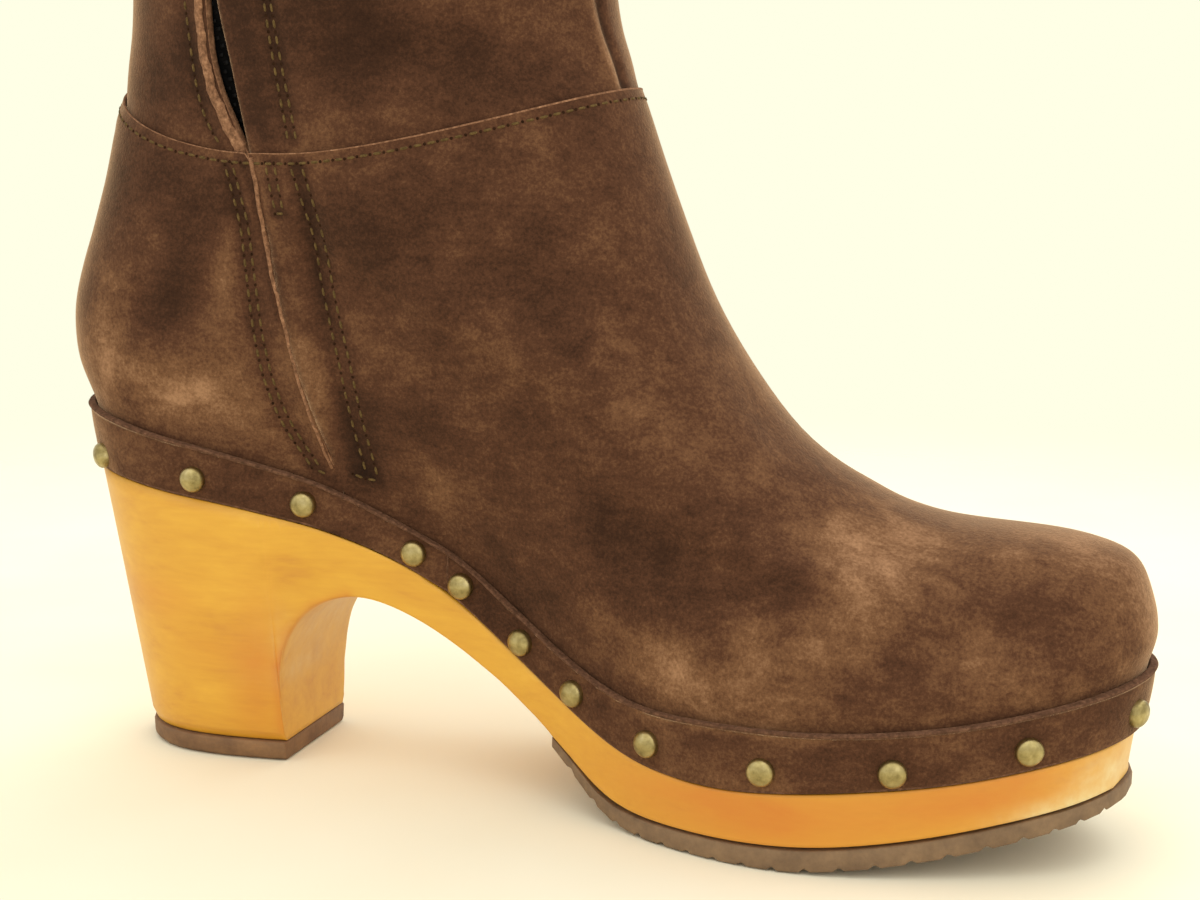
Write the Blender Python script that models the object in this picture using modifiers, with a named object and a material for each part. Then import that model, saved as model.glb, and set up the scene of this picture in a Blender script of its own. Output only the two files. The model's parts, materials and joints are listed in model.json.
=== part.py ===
"""Heeled clog boot for the left foot: a carved wooden sole, a suede upper and a zipped shaft.

+X points to the toe, +Y to the outer (lateral) side, +Z up. Table sizes are in millimetres,
measured from the back of the heel seat, and MM turns them into metres.
"""
import math

import bpy
import bmesh
import numpy as np
from mathutils import Matrix, Vector

# Driving dimensions, in millimetres
MM = 0.001
LEATHER = 2.0
GAP = 0.3
BAND_LEATHER = 2.0
WOOD_PROUD = 2.0
INSOLE_THICK = 2.5
LIFT_THICK = 4.7
HEEL_END_RADIUS = 26.0
ORIGIN_X = 127.2
ORIGIN_Y = -4.3

# Height of the leather's lower edge along the sole, heel to toe
SOLE_LINE = [
    # x, z
    (-10, 71.6), (10, 69.9), (30, 66.8), (53, 63.7), (68, 61.0), (84, 55.4), (100, 47.6), (118, 35.0),
    (134, 24.6), (148, 18.8), (163, 16.8), (180, 16.8), (200, 18.0), (220, 20.8), (240, 25.4), (262, 31.0),
]

# Rings of the last, from the leather's lower edge up to the collar.
# Each ring runs from a point on the back line to a point on the front line.
# sag is its share of the sole line's hollow, dip raises or lowers its sides,
# lead moves its middle stations towards the front, and round is its front end's radius.
PROFILE_COLUMNS = ("back_x", "back_z", "front_x", "front_z", "front_y", "sag", "dip", "lead", "round")
PROFILE_RINGS = [
    # back_x back_z front_x front_z front_y sag dip lead round
    (3.6, 70.5, 254.8, 29.4, -8.0, 1.00, 0.0, 0.00, 28.0),       # 0 lower edge
    (0.6, 85.6, 257.2, 43.0, -8.0, 1.00, -3.0, 0.00, 28.0),      # 1 top of the band
    (-4.2, 97.4, 258.8, 50.5, -8.0, 1.00, -2.0, 0.05, 28.0),     # 2 side wall
    (-5.0, 109.2, 256.8, 59.5, -7.5, 0.95, -2.3, 0.15, 28.0),    # 3 top of the wall
    (-2.8, 119.5, 252.0, 66.6, -7.0, 0.85, -4.0, 0.28, 24.0),    # 4 toe turn
    (0.0, 127.8, 238.5, 69.8, -6.0, 0.72, -3.6, 0.42, 24.0),     # 5 toe top
    (2.2, 134.6, 216.0, 70.8, -5.0, 0.58, -1.0, 0.58, 30.0),     # 6 low vamp
    (4.0, 140.4, 199.5, 74.2, -3.5, 0.46, 0.6, 0.70, 38.0),      # 7 vamp
    (5.2, 145.0, 185.4, 81.4, -2.5, 0.36, 1.2, 0.80, 46.0),      # 8 top of the vamp
    (6.2, 149.5, 171.6, 94.1, -1.5, 0.28, -1.2, 0.82, 42.0),     # 9 low instep
    (7.0, 153.2, 158.8, 111.8, -0.8, 0.20, -5.5, 0.80, 36.0),    # 10 instep
    (7.6, 156.5, 149.8, 131.0, -0.3, 0.12, -9.5, 0.78, 32.0),    # 11 low ankle
    (8.1, 159.4, 143.4, 148.0, 0.0, 0.05, -12.5, 0.75, 30.0),    # 12 ankle
    (8.6, 162.0, 138.2, 164.0, 0.0, 0.0, -15.0, 0.72, 28.0),     # 13 lapped edge
    (9.0, 170.0, 136.2, 172.5, 0.0, 0.0, -10.0, 0.66, 28.0),     # 14 low shaft
    (10.0, 185.0, 133.4, 186.5, 0.0, 0.0, -3.0, 0.60, 28.0),     # 15 shaft
    (9.0, 220.0, 131.6, 220.0, 0.0, 0.0, 0.0, 0.50, 28.0),       # 16 mid shaft
    (5.0, 265.0, 134.0, 265.0, 0.0, 0.0, 0.0, 0.40, 28.0),       # 17 collar
]

# Half-widths of the rings at four stations, medial then lateral
WIDTH_STATIONS = (0.13, 0.42, 0.72, 0.92)
WIDTH_RINGS = [
    # heel waist ball toe | heel waist ball toe
    (25.5, 20.5, 44.2, 29.0, 26.0, 29.0, 40.0, 26.0),
    (26.8, 21.8, 45.0, 30.0, 27.3, 29.8, 41.0, 27.0),
    (28.4, 25.0, 45.5, 29.8, 29.0, 32.0, 41.8, 27.0),
    (29.4, 29.0, 43.2, 26.8, 29.8, 34.0, 39.8, 24.6),
    (29.8, 31.6, 40.0, 23.0, 30.2, 35.2, 37.4, 21.4),
    (30.0, 33.0, 37.2, 20.0, 30.4, 35.8, 35.0, 19.0),
    (30.0, 33.7, 35.4, 19.0, 30.4, 36.2, 34.0, 18.4),
    (30.0, 34.1, 34.4, 18.8, 30.4, 36.4, 33.5, 18.4),
    (29.9, 34.2, 33.0, 18.3, 30.2, 36.4, 32.7, 18.1),
    (29.8, 34.8, 31.2, 17.2, 30.0, 36.7, 31.2, 17.2),
    (29.6, 35.4, 29.2, 15.9, 29.8, 36.9, 29.3, 15.9),
    (29.4, 36.0, 27.7, 14.9, 29.6, 37.0, 27.8, 14.9),
    (29.2, 36.4, 26.8, 14.2, 29.3, 37.1, 27.0, 14.2),
    (29.0, 36.6, 26.2, 13.6, 29.1, 37.0, 26.4, 13.6),
    (29.2, 37.0, 26.4, 13.4, 29.2, 37.1, 26.4, 13.4),
    (30.4, 38.1, 28.2, 14.3, 30.4, 38.1, 28.2, 14.3),
    (31.5, 40.4, 31.0, 16.5, 31.5, 40.4, 31.0, 16.5),
    (33.4, 44.0, 35.2, 19.3, 33.4, 44.0, 35.2, 19.3),
]
COLLAR_RING = len(PROFILE_RINGS) - 1

# The zip's line on the medial side, and the slit's width, by ring
ZIP_LINE = [
    # ring, x, slit
    (0.0, 77.0, 0.6), (1.0, 74.0, 0.6), (2.0, 70.6, 0.6), (3.0, 67.2, 0.6), (4.0, 64.8, 0.6), (6.0, 61.6, 0.6),
    (8.0, 59.6, 0.6), (10.0, 57.6, 0.6), (13.0, 54.8, 0.8), (13.5, 52.6, 2.6), (14.0, 49.6, 4.8),
    (14.5, 47.3, 5.4), (15.0, 45.7, 3.4), (16.0, 44.6, 3.0), (17.0, 44.0, 3.0),
]
ZIP_FOOT_RING = 1.2

# The foot part is pared thin where it laps over the shaft: how far its skin dips, and its leather, by ring
LAP_PARING = [
    # ring, dip, leather
    (0.0, 0.0, LEATHER), (11.0, 0.0, LEATHER), (12.0, 0.25, 1.5), (13.0, 0.6, 0.8),
]

# How far the shaft's skin lies inside the last's surface, by ring
SHAFT_LAY = [
    # ring, depth
    (12.2, 2.0), (13.0, 1.7), (13.5, 1.75), (14.0, 2.1), (15.0, 2.6), (17.0, 2.6),
]

# Bottom of the wood: where each part of its lower edge lies under the top outline.
# share is the lower edge's half-width as a share of the top outline's.
BOTTOM_COLUMNS = ("t", "top_x", "bottom_x", "bottom_z", "share")
LIFT_TOP = LIFT_THICK + GAP
HEEL_BREAST = 0.29
BOTTOM_ROWS = [
    # t top_x bottom_x bottom_z share
    (0.00, 2.3, 11.3, LIFT_TOP, 0.68),
    (0.10, 11.0, 19.2, LIFT_TOP, 0.68),
    (0.22, 37.0, 40.0, LIFT_TOP, 0.68),
    (HEEL_BREAST, 52.0, 55.6, LIFT_TOP, 0.65),
    (0.31, 53.4, 55.1, 12.0, 0.68),
    (0.35, 55.0, 55.4, 24.0, 0.76),
    (0.39, 58.5, 58.6, 33.5, 0.79),
    (0.43, 65.2, 64.8, 40.6, 0.84),
    (0.47, 77.0, 76.0, 44.5, 0.91),
    (0.52, 93.0, 92.0, 40.0, 0.955),
    (0.57, 110.0, 109.0, 30.3, 0.97),
    (0.62, 126.0, 127.0, 17.6, 0.99),
    (0.67, 143.0, 144.0, 5.8, 1.01),
    (0.70, 153.0, 153.5, 4.8, 1.01),
    (0.79, 184.0, 184.0, 5.3, 0.98),
    (0.87, 215.0, 214.5, 9.0, 0.97),
    (0.93, 238.0, 237.6, 14.2, 0.96),
    (1.00, 254.8, 255.4, 18.6, 0.95),
]


def hermite(knots, values, x, held=False):
    """Smooth curve through the values, with tangents from each knot's two neighbours.

    With held set, a tangent is level wherever the values turn, so the curve never overshoots.
    """
    knots = np.asarray(knots, float)
    values = np.asarray(values, float)
    x = np.clip(np.asarray(x, float), knots[0], knots[-1])
    steps = np.diff(knots)
    slopes = np.diff(values, axis=0) / steps.reshape((-1,) + (1,) * (values.ndim - 1))
    tangents = np.empty_like(values)
    tangents[0] = slopes[0]
    tangents[-1] = slopes[-1]
    for k in range(1, len(knots) - 1):
        mean = (slopes[k - 1] * steps[k] + slopes[k] * steps[k - 1]) / (steps[k] + steps[k - 1])
        if held:
            limit = 2.5 * np.minimum(np.abs(slopes[k - 1]), np.abs(slopes[k]))
            same_way = slopes[k - 1] * slopes[k] > 0
            mean = np.where(same_way, np.clip(mean, -limit, limit), 0.0)
        tangents[k] = mean
    k = np.clip(np.searchsorted(knots, x, side="right") - 1, 0, len(steps) - 1)
    h = steps[k]
    p = (x - knots[k]) / h
    if values.ndim > 1:
        h = h[..., None]
        p = p[..., None]
    return ((2 * p**3 - 3 * p**2 + 1) * values[k] + (p**3 - 2 * p**2 + p) * h * tangents[k]
            + (3 * p**2 - 2 * p**3) * values[k + 1] + (p**3 - p**2) * h * tangents[k + 1])


def column(table, index):
    return [row[index] for row in table]


def sole_height(x):
    return hermite(column(SOLE_LINE, 0), column(SOLE_LINE, 1), x)


RINGS = np.arange(len(PROFILE_RINGS), dtype=float)
# Power that puts a ring's dip two fifths of the way along it
DIP_POWER = 0.756
# Power that keeps the toe's sideways swing to the forefoot
SWING_POWER = 4.0


def ring_sizes(v):
    return dict(zip(PROFILE_COLUMNS, np.moveaxis(hermite(RINGS, PROFILE_RINGS, v), -1, 0)))


def half_width(station, v, side, ring):
    """Half-width of ring v at a station, round at both ends."""
    widths = hermite(RINGS, WIDTH_RINGS, v)
    widths = widths[:4] if side < 0 else widths[4:]
    rounds = [2.0 * math.sqrt(s * (1.0 - s)) for s in WIDTH_STATIONS]
    knots = (0.0,) + WIDTH_STATIONS + (1.0,)
    length = ring["front_x"] - ring["back_x"]
    heel_end = math.sqrt(HEEL_END_RADIUS * length * (1.0 + ring["lead"]) / 2.0)
    toe_end = math.sqrt(ring["round"] * length * (1.0 - ring["lead"]) / 2.0)
    values = [heel_end] + [w / r for w, r in zip(widths, rounds)] + [toe_end]
    return hermite(knots, values, station) * 2.0 * math.sqrt(max(station * (1.0 - station), 0.0))


def last_point(w, v):
    """Point of the last: w runs 0 to 1 along the medial side, 1 to 2 back along the lateral one."""
    w = w % 2.0
    side = -1.0 if w <= 1.0 else 1.0
    turn = w if w <= 1.0 else 2.0 - w
    station = (1.0 - math.cos(math.pi * turn)) / 2.0
    ring = ring_sizes(v)
    length = ring["front_x"] - ring["back_x"]
    share = station + ring["lead"] * station * (1.0 - station)
    foot = ring_sizes(0.0)
    foot_x = foot["back_x"] + (foot["front_x"] - foot["back_x"]) * station
    chord = foot["back_z"] + (foot["front_z"] - foot["back_z"]) * station
    hollow = sole_height(foot_x) - chord
    x = ring["back_x"] + length * share
    y = ring["front_y"] * share**SWING_POWER + side * half_width(station, v, side, ring)
    z = ring["back_z"] + (ring["front_z"] - ring["back_z"]) * share
    z += ring["sag"] * hollow + ring["dip"] * math.sin(math.pi * share**DIP_POWER)
    return np.array((float(x), float(y), float(z)))


def surface(w, v, offset=0.0):
    """Point at a distance outside (or, below zero, inside) the last's surface."""
    if offset == 0.0:
        return last_point(w, v)
    return last_point(w, v) + offset * outward(w, v)


def outward(w, v):
    step = 0.004
    low = max(v - 0.05, 0.0)
    high = min(v + 0.05, float(COLLAR_RING))
    across = last_point(w + step, v) - last_point(w - step, v)
    along = last_point(w, high) - last_point(w, low)
    normal = np.cross(across, along)
    return normal / np.linalg.norm(normal)


def turn_at(x, v):
    """Loop position of the point at x on ring v's medial side."""
    ring = ring_sizes(v)
    share = (x - ring["back_x"]) / (ring["front_x"] - ring["back_x"])
    share = min(max(float(share), 0.0), 1.0)
    lead = float(ring["lead"])
    station = share
    if lead > 1e-6:
        station = ((1.0 + lead) - math.sqrt((1.0 + lead)**2 - 4.0 * lead * share)) / (2.0 * lead)
    return math.acos(1.0 - 2.0 * station) / math.pi


def zip_turn(v):
    return turn_at(float(hermite(column(ZIP_LINE, 0), column(ZIP_LINE, 1), v)), v)


def turn_length(w, v):
    """Millimetres along ring v for one unit of loop position, near w."""
    step = 0.01
    return np.linalg.norm(last_point(w + step, v) - last_point(w - step, v)) / (2.0 * step)


def slit_turn(v):
    """Half of the slit's width, as a loop distance."""
    width = float(hermite(column(ZIP_LINE, 0), column(ZIP_LINE, 2), v))
    return width / 2.0 / turn_length(zip_turn(v), v)


# Building meshes

def new_object(name, vertices, faces, material, parent):
    mesh = bpy.data.meshes.new(name)
    mesh.from_pydata([tuple(float(c) * MM for c in p) for p in vertices], [], faces)
    return finish_object(name, mesh, material, parent)


def finish_object(name, mesh, material, parent):
    mesh.materials.append(material)
    mesh.shade_smooth()
    mesh.set_sharp_from_angle(angle=math.radians(35))
    piece = bpy.data.objects.new(name, mesh)
    parent.users_collection[0].objects.link(piece)
    piece.parent = parent
    return piece


def material(name, colour, roughness, metallic=0.0):
    made = bpy.data.materials.new(name)
    made.use_nodes = True
    shader = made.node_tree.nodes["Principled BSDF"]
    shader.inputs["Base Color"].default_value = (*colour, 1.0)
    shader.inputs["Roughness"].default_value = roughness
    shader.inputs["Metallic"].default_value = metallic
    made.diffuse_color = (*colour, 1.0)
    return made


def sheet(name, rows, closed, skipped, look, parent, thickness, outside, shares=()):
    """Open sheet through rows of points, given its thickness outwards or inwards.

    shares, where given, is each row's part of the full thickness.
    """
    count = len(rows[0])
    vertices = [p for row in rows for p in row]
    faces = []
    for r in range(len(rows) - 1):
        for c in range(count if closed else count - 1):
            if (r, c) in skipped:
                continue
            n = (c + 1) % count
            faces.append((r * count + c, r * count + n, (r + 1) * count + n, (r + 1) * count + c))
    piece = new_object(name, vertices, faces, look, parent)
    wall = piece.modifiers.new("wall", "SOLIDIFY")
    wall.thickness = thickness * MM
    wall.offset = 1.0 if outside else -1.0
    wall.use_even_offset = True
    if shares:
        pared = piece.vertex_groups.new(name="pared")
        for r, share in enumerate(shares):
            pared.add(list(range(r * count, (r + 1) * count)), share, "REPLACE")
        wall.vertex_group = pared.name
    return piece


def slab(name, levels, pinched, look, parent):
    """Closed block from loops of points, top to bottom; its caps run across from side to side."""
    count = len(levels[0])
    vertices = [p for level in levels for p in level]
    faces = []
    for k in range(len(levels) - 1):
        for c in range(count):
            n = (c + 1) % count
            faces.append((k * count + n, k * count + c, (k + 1) * count + c, (k + 1) * count + n))
    last = count if pinched else count - 1
    for k, flip in ((0, False), (len(levels) - 1, True)):
        for c in range(count // 2):
            ring = [c, c + 1, last - c - 1, (last - c) % count]
            unique = list(dict.fromkeys(ring))
            if len(unique) < 3:
                continue
            face = [k * count + i for i in unique]
            faces.append(tuple(reversed(face)) if flip else tuple(face))
    return new_object(name, vertices, faces, look, parent)


# Sub-parts

UPPER_SIDE_COLUMNS = 29
UPPER_ZIP_COLUMN = 11
SIDE_CROWDING = 0.3
FOOT_LEVELS = (0.0, 0.5, 1.0, 1.5, 2.0, 2.5, 3.0, 3.5, 4.0, 4.5, 5.0, 5.5, 6.0, 6.5, 7.0, 7.5, 8.0, 8.75, 9.5,
               10.25, 11.0, 12.0, 13.0)
SHAFT_LEVELS = (12.2, 13.0, 13.5, 14.0, 14.5, 15.0, 15.5, 16.2, 17.0)
BAND_LEVELS = (0.0, 0.5, 1.0)
# The band's upper edge along the boot, as a ring of the last; its levels run from the lower edge to that
BAND_TOP = [
    # x, ring
    (0, 1.1), (28, 1.1), (50, 1.03), (66, 0.95), (82, 0.89), (104, 0.95), (132, 0.98), (152, 1.08),
    (170, 1.24), (192, 1.24), (212, 1.18), (236, 1.09), (258, 1.03),
]


# The leather's lower edge on the wood along the boot, and how far foot part and band stay above it, as rings
LOWER_EDGE = [
    # x, ring
    (0, 0.08), (40, 0.09), (66, 0.03), (80, 0.04), (96, 0.07), (114, 0.04), (132, 0.07), (148, 0.0), (166, 0.0),
    (182, 0.08), (200, 0.145), (218, 0.125), (240, 0.1), (258, 0.1),
]
FOOT_CLEAR = 0.02
BAND_CLEAR = 0.04


def lower_ring(w):
    """Ring of the leather's lower edge at loop position w."""
    return float(hermite(column(LOWER_EDGE, 0), column(LOWER_EDGE, 1), last_point(w, 0.0)[0], held=True))


def side_columns():
    """Loop positions along one side, closer together at its middle than at the ends."""
    even = [k / UPPER_SIDE_COLUMNS for k in range(UPPER_SIDE_COLUMNS + 1)]
    return [p + SIDE_CROWDING * math.sin(2.0 * math.pi * p) / (2.0 * math.pi) for p in even]


def upper_columns(v):
    """Loop positions round ring v, with a pair of columns along the slit's edges."""
    centre = zip_turn(v)
    half = slit_turn(v)
    plain = side_columns()
    middle = plain[UPPER_ZIP_COLUMN]
    back = [p * centre / middle for p in plain[:UPPER_ZIP_COLUMN]]
    front = [1.0 - (1.0 - p) * (1.0 - centre) / (1.0 - middle) for p in plain[UPPER_ZIP_COLUMN + 1:]]
    lateral = [2.0 - p for p in reversed(plain[1:-1])]
    return back + [centre - half, centre + half] + front + lateral


def foot_upper(look, parent):
    dips = np.interp(FOOT_LEVELS, column(LAP_PARING, 0), column(LAP_PARING, 1))
    leathers = np.interp(FOOT_LEVELS, column(LAP_PARING, 0), column(LAP_PARING, 2))
    rows = []
    for v, dip in zip(FOOT_LEVELS, dips):
        rows.append([surface(w, max(v, lower_ring(w) + FOOT_CLEAR), -dip) for w in upper_columns(v)])
    slit = {(r, UPPER_ZIP_COLUMN) for r, v in enumerate(FOOT_LEVELS) if v > ZIP_FOOT_RING}
    return sheet("foot_upper", rows, True, slit, look, parent, LEATHER, False, list(leathers / LEATHER))


def shaft(look, parent):
    depths = hermite(column(SHAFT_LAY, 0), column(SHAFT_LAY, 1), SHAFT_LEVELS, held=True)
    rows = [[surface(w, v, -depth) for w in upper_columns(v)] for v, depth in zip(SHAFT_LEVELS, depths)]
    slit = {(r, UPPER_ZIP_COLUMN) for r in range(len(SHAFT_LEVELS))}
    return sheet("shaft", rows, True, slit, look, parent, LEATHER, False)


BAND_JOINT_COLUMN = 13
BAND_JOINT_X = 100.4
BAND_JOINT_GAP = 0.5


def band_columns(v):
    """Loop positions from one end of the band, round the boot, to its other end."""
    columns = upper_columns(v)
    columns[UPPER_ZIP_COLUMN:UPPER_ZIP_COLUMN + 2] = [zip_turn(v)]
    joint = turn_at(BAND_JOINT_X, v)
    half = BAND_JOINT_GAP / 2.0 / turn_length(joint, v)
    onward = columns[BAND_JOINT_COLUMN + 1:] + [2.0 + w for w in columns[:BAND_JOINT_COLUMN]]
    return [joint + half] + onward + [2.0 + joint - half]


def welt_band(look, parent):
    rows = []
    for level in BAND_LEVELS:
        columns = band_columns(level)
        places = [last_point(w, level)[0] for w in columns]
        tops = hermite(column(BAND_TOP, 0), column(BAND_TOP, 1), places)
        lows = [lower_ring(w) + BAND_CLEAR for w in columns]
        rows.append([surface(w, low + (top - low) * level, GAP) for w, low, top in zip(columns, lows, tops)])
    return sheet("welt_band", rows, False, set(), look, parent, BAND_LEATHER, True)


def sole_row(t):
    rows = np.asarray(BOTTOM_ROWS, float)
    return dict(zip(BOTTOM_COLUMNS[1:], hermite(rows[:, 0], rows[:, 1:], t, held=True)))


SHOULDER_DROP = 0.4
RIM_RING = 0.66
RIM_CLEAR = 0.5
EDGE_ROUND = 1.2


def top_outline(t, side, offset, v=0.0):
    turn = turn_at(float(sole_row(t)["top_x"]), v)
    return surface(turn if side < 0 else 2.0 - turn, v, offset)


def shoulder_height(t, side):
    """Height of the wood's shoulder, just under the leather's lower edge."""
    turn = turn_at(float(sole_row(t)["top_x"]), 0.0)
    w = turn if side < 0 else 2.0 - turn
    return surface(w, lower_ring(w), WOOD_PROUD)[2] - SHOULDER_DROP


def wood_wall(t, side, depth, inset=0.0):
    """Point on the wood's side: depth 0 at the leather's edge, 1 at the bottom edge."""
    row = sole_row(t)
    top = top_outline(t, side, WOOD_PROUD)
    top[2] = shoulder_height(t, side)
    centre = top_centre(t)
    low_y = centre + (top[1] - centre) * float(row["share"])
    low = np.array((float(row["bottom_x"]), low_y, float(row["bottom_z"])))
    point = top + (low - top) * depth
    reach = abs(point[1] - centre)
    if reach > 0.0:
        point[1] = centre + (point[1] - centre) * max(reach - inset, 0.0) / reach
    return point


def top_centre(t):
    medial = top_outline(t, -1.0, WOOD_PROUD)[1]
    lateral = top_outline(t, 1.0, WOOD_PROUD)[1]
    return (medial + lateral) / 2.0


SOLE_COLUMNS = 44
END_CROWDING = 0.35
EDGE_DEPTH = 0.96


def around(steps):
    """Stations out along the medial side and home along the lateral one."""
    return [(t, -1.0) for t in steps] + [(t, 1.0) for t in reversed(steps[1:-1])]


def sole_steps():
    """Stations along the sole, closer together at the heel's back and the toe."""
    even = [k / SOLE_COLUMNS for k in range(SOLE_COLUMNS + 1)]
    return [p + END_CROWDING * ((1.0 - math.cos(math.pi * p)) / 2.0 - p) for p in even]


def rim_point(t, side, v):
    return top_outline(t, side, -LEATHER - RIM_CLEAR, v)


def wooden_sole(look, parent):
    loop = around(sole_steps())
    shoulder_in = []
    for t, side in loop:
        foot = rim_point(t, side, 0.0)
        foot[2] = shoulder_height(t, side)
        shoulder_in.append(foot)
    levels = [
        [rim_point(t, side, RIM_RING) for t, side in loop],
        shoulder_in,
        [wood_wall(t, side, 0.0) for t, side in loop],
        [wood_wall(t, side, 0.5) for t, side in loop],
        [wood_wall(t, side, EDGE_DEPTH) for t, side in loop],
        [wood_wall(t, side, 1.0, EDGE_ROUND) for t, side in loop],
    ]
    return slab("wooden_sole", levels, True, look, parent)


LIFT_COLUMNS = 12
LIFT_PROFILE = [
    # z, inset
    (LIFT_THICK, 0.0), (1.0, 0.3), (0.0, 1.3),
]


def heel_top_lift(look, parent):
    steps = [HEEL_BREAST * k / LIFT_COLUMNS for k in range(LIFT_COLUMNS + 1)]
    loop = [(t, 1.0) for t in reversed(steps[1:])] + [(t, -1.0) for t in steps]
    levels = []
    for z, inset in LIFT_PROFILE:
        level = [wood_wall(t, side, 1.0, inset) for t, side in loop]
        for point in level:
            point[2] = z
        levels.append(level)
    return slab("heel_top_lift", levels, False, look, parent)


OUTSOLE_START = 0.62
TREAD_BARS = 20
TREAD_DEPTH = 0.9
TREAD_SIDE = 1.6
# Where a bar ends and where its groove is deepest, as shares of one bar's pitch
TREAD_PITCH = [
    # share, cut
    (0.0, 0.0), (0.66, 0.0), (0.83, TREAD_DEPTH),
]
RUBBER_GAP = 0.4
RUBBER_INSET = 0.4
RUBBER_ROWS = [
    # t, thickness
    (0.62, 2.6), (0.66, 3.6), (0.70, 4.4), (0.80, 4.9), (1.00, 3.8),
]


def forefoot_outsole(look, parent):
    pitch = (1.0 - OUTSOLE_START) / TREAD_BARS
    steps = []
    for k in range(TREAD_BARS):
        for share, cut in TREAD_PITCH:
            last_bar = k == TREAD_BARS - 1
            steps.append((OUTSOLE_START + pitch * (k + share), 0.0 if last_bar else cut))
    steps.append((1.0, 0.0))
    loop = [(t, -1.0, cut) for t, cut in steps] + [(t, 1.0, cut) for t, cut in reversed(steps[:-1])]
    levels = [[], [], []]
    for t, side, cut in loop:
        point = wood_wall(t, side, 1.0, RUBBER_INSET)
        thick = float(hermite(column(RUBBER_ROWS, 0), column(RUBBER_ROWS, 1), t, held=True))
        drops = (RUBBER_GAP, RUBBER_GAP + thick - TREAD_SIDE, RUBBER_GAP + thick - cut)
        for level, drop in zip(levels, drops):
            lower = point.copy()
            lower[2] = max(lower[2] - drop, 0.0)
            level.append(lower)
    return slab("forefoot_outsole", levels, False, look, parent)


def insole(look, parent):
    loop = around(sole_steps())
    levels = []
    for rise in (INSOLE_THICK + GAP, GAP):
        level = []
        for t, side in loop:
            point = rim_point(t, side, RIM_RING)
            point[2] += rise
            level.append(point)
        levels.append(level)
    return slab("insole", levels, True, look, parent)


ZIP_HALF_WIDTH = 14.0
ZIP_THICK = 1.0
ZIP_LEVELS = (1.3, 2.0, 3.0, 4.0, 5.0, 6.0, 7.0, 8.0, 9.0, 10.0, 11.0, 12.0, 13.0, 13.5, 14.0, 14.8, 15.0, 15.5,
              16.2, 16.95)
UNDER_FOOT = LEATHER + 3.0 * GAP
UNDER_SHAFT = 2.0 * (LEATHER + GAP) + GAP
LAP_START_RING = 11.5
TEETH_HALF_WIDTH = 0.8
TEETH_FOOT_HALF = 1.1
TEETH_RISE = 1.2
TEETH_FOOT_RING = 15.0


def zip_tape(look, parent):
    half_reaches = (TEETH_HALF_WIDTH, TEETH_FOOT_HALF, ZIP_HALF_WIDTH / 2.0, ZIP_HALF_WIDTH)
    reaches = [-r for r in reversed(half_reaches)] + list(half_reaches)
    rows = []
    for v in ZIP_LEVELS:
        centre = zip_turn(v)
        length = turn_length(centre, v)
        row = []
        for reach in reaches:
            depth = UNDER_SHAFT if v > LAP_START_RING else UNDER_FOOT
            if abs(reach) <= TEETH_HALF_WIDTH and v >= TEETH_FOOT_RING:
                depth -= TEETH_RISE
            row.append(surface(centre + reach / length, v, -depth))
        rows.append(row)
    return sheet("zip", rows, False, set(), look, parent, ZIP_THICK, False)


STUD_RADIUS = 3.1
STUD_HEIGHT = 1.9
STUD_SEAT = 0.45
STUD_RING = 0.45
MEDIAL_STUDS_X = (38, 65, 92, 104, 120, 134.5, 154.5, 181, 207.5, 234)
LATERAL_STUDS_X = (24, 52, 79, 106, 133, 161, 189, 217)
END_STUDS = [
    # turn, ring
    (0.115, 0.3), (0.94, STUD_RING), (1.13, STUD_RING), (1.93, 0.3),
]


def stud_mesh(look):
    shape = bmesh.new()
    bmesh.ops.create_uvsphere(shape, u_segments=8, v_segments=6, radius=STUD_RADIUS * MM)
    bmesh.ops.scale(shape, vec=(1.0, 1.0, STUD_HEIGHT / STUD_RADIUS), verts=shape.verts)
    below = [vertex for vertex in shape.verts if vertex.co.z < -1e-6]
    bmesh.ops.delete(shape, geom=below, context="VERTS")
    rim = [edge for edge in shape.edges if edge.is_boundary]
    bmesh.ops.contextual_create(shape, geom=rim)
    mesh = bpy.data.meshes.new("stud")
    shape.to_mesh(mesh)
    shape.free()
    mesh.materials.append(look)
    mesh.shade_smooth()
    mesh.set_sharp_from_angle(angle=math.radians(50))
    return mesh


def studs(look, parent):
    mesh = stud_mesh(look)
    places = [(turn_at(x, STUD_RING), STUD_RING) for x in MEDIAL_STUDS_X]
    places += [(2.0 - turn_at(x, STUD_RING), STUD_RING) for x in LATERAL_STUDS_X]
    places += END_STUDS
    for number, (w, ring) in enumerate(sorted(places), 1):
        seat = surface(w, ring, GAP + BAND_LEATHER + STUD_SEAT) * MM
        facing = Vector(outward(w, ring)).to_track_quat("Z", "X").to_matrix().to_4x4()
        stud = bpy.data.objects.new(f"stud_{number:02d}", mesh)
        parent.users_collection[0].objects.link(stud)
        stud.parent = parent
        stud.matrix_local = Matrix.Translation(Vector(seat)) @ facing


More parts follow.
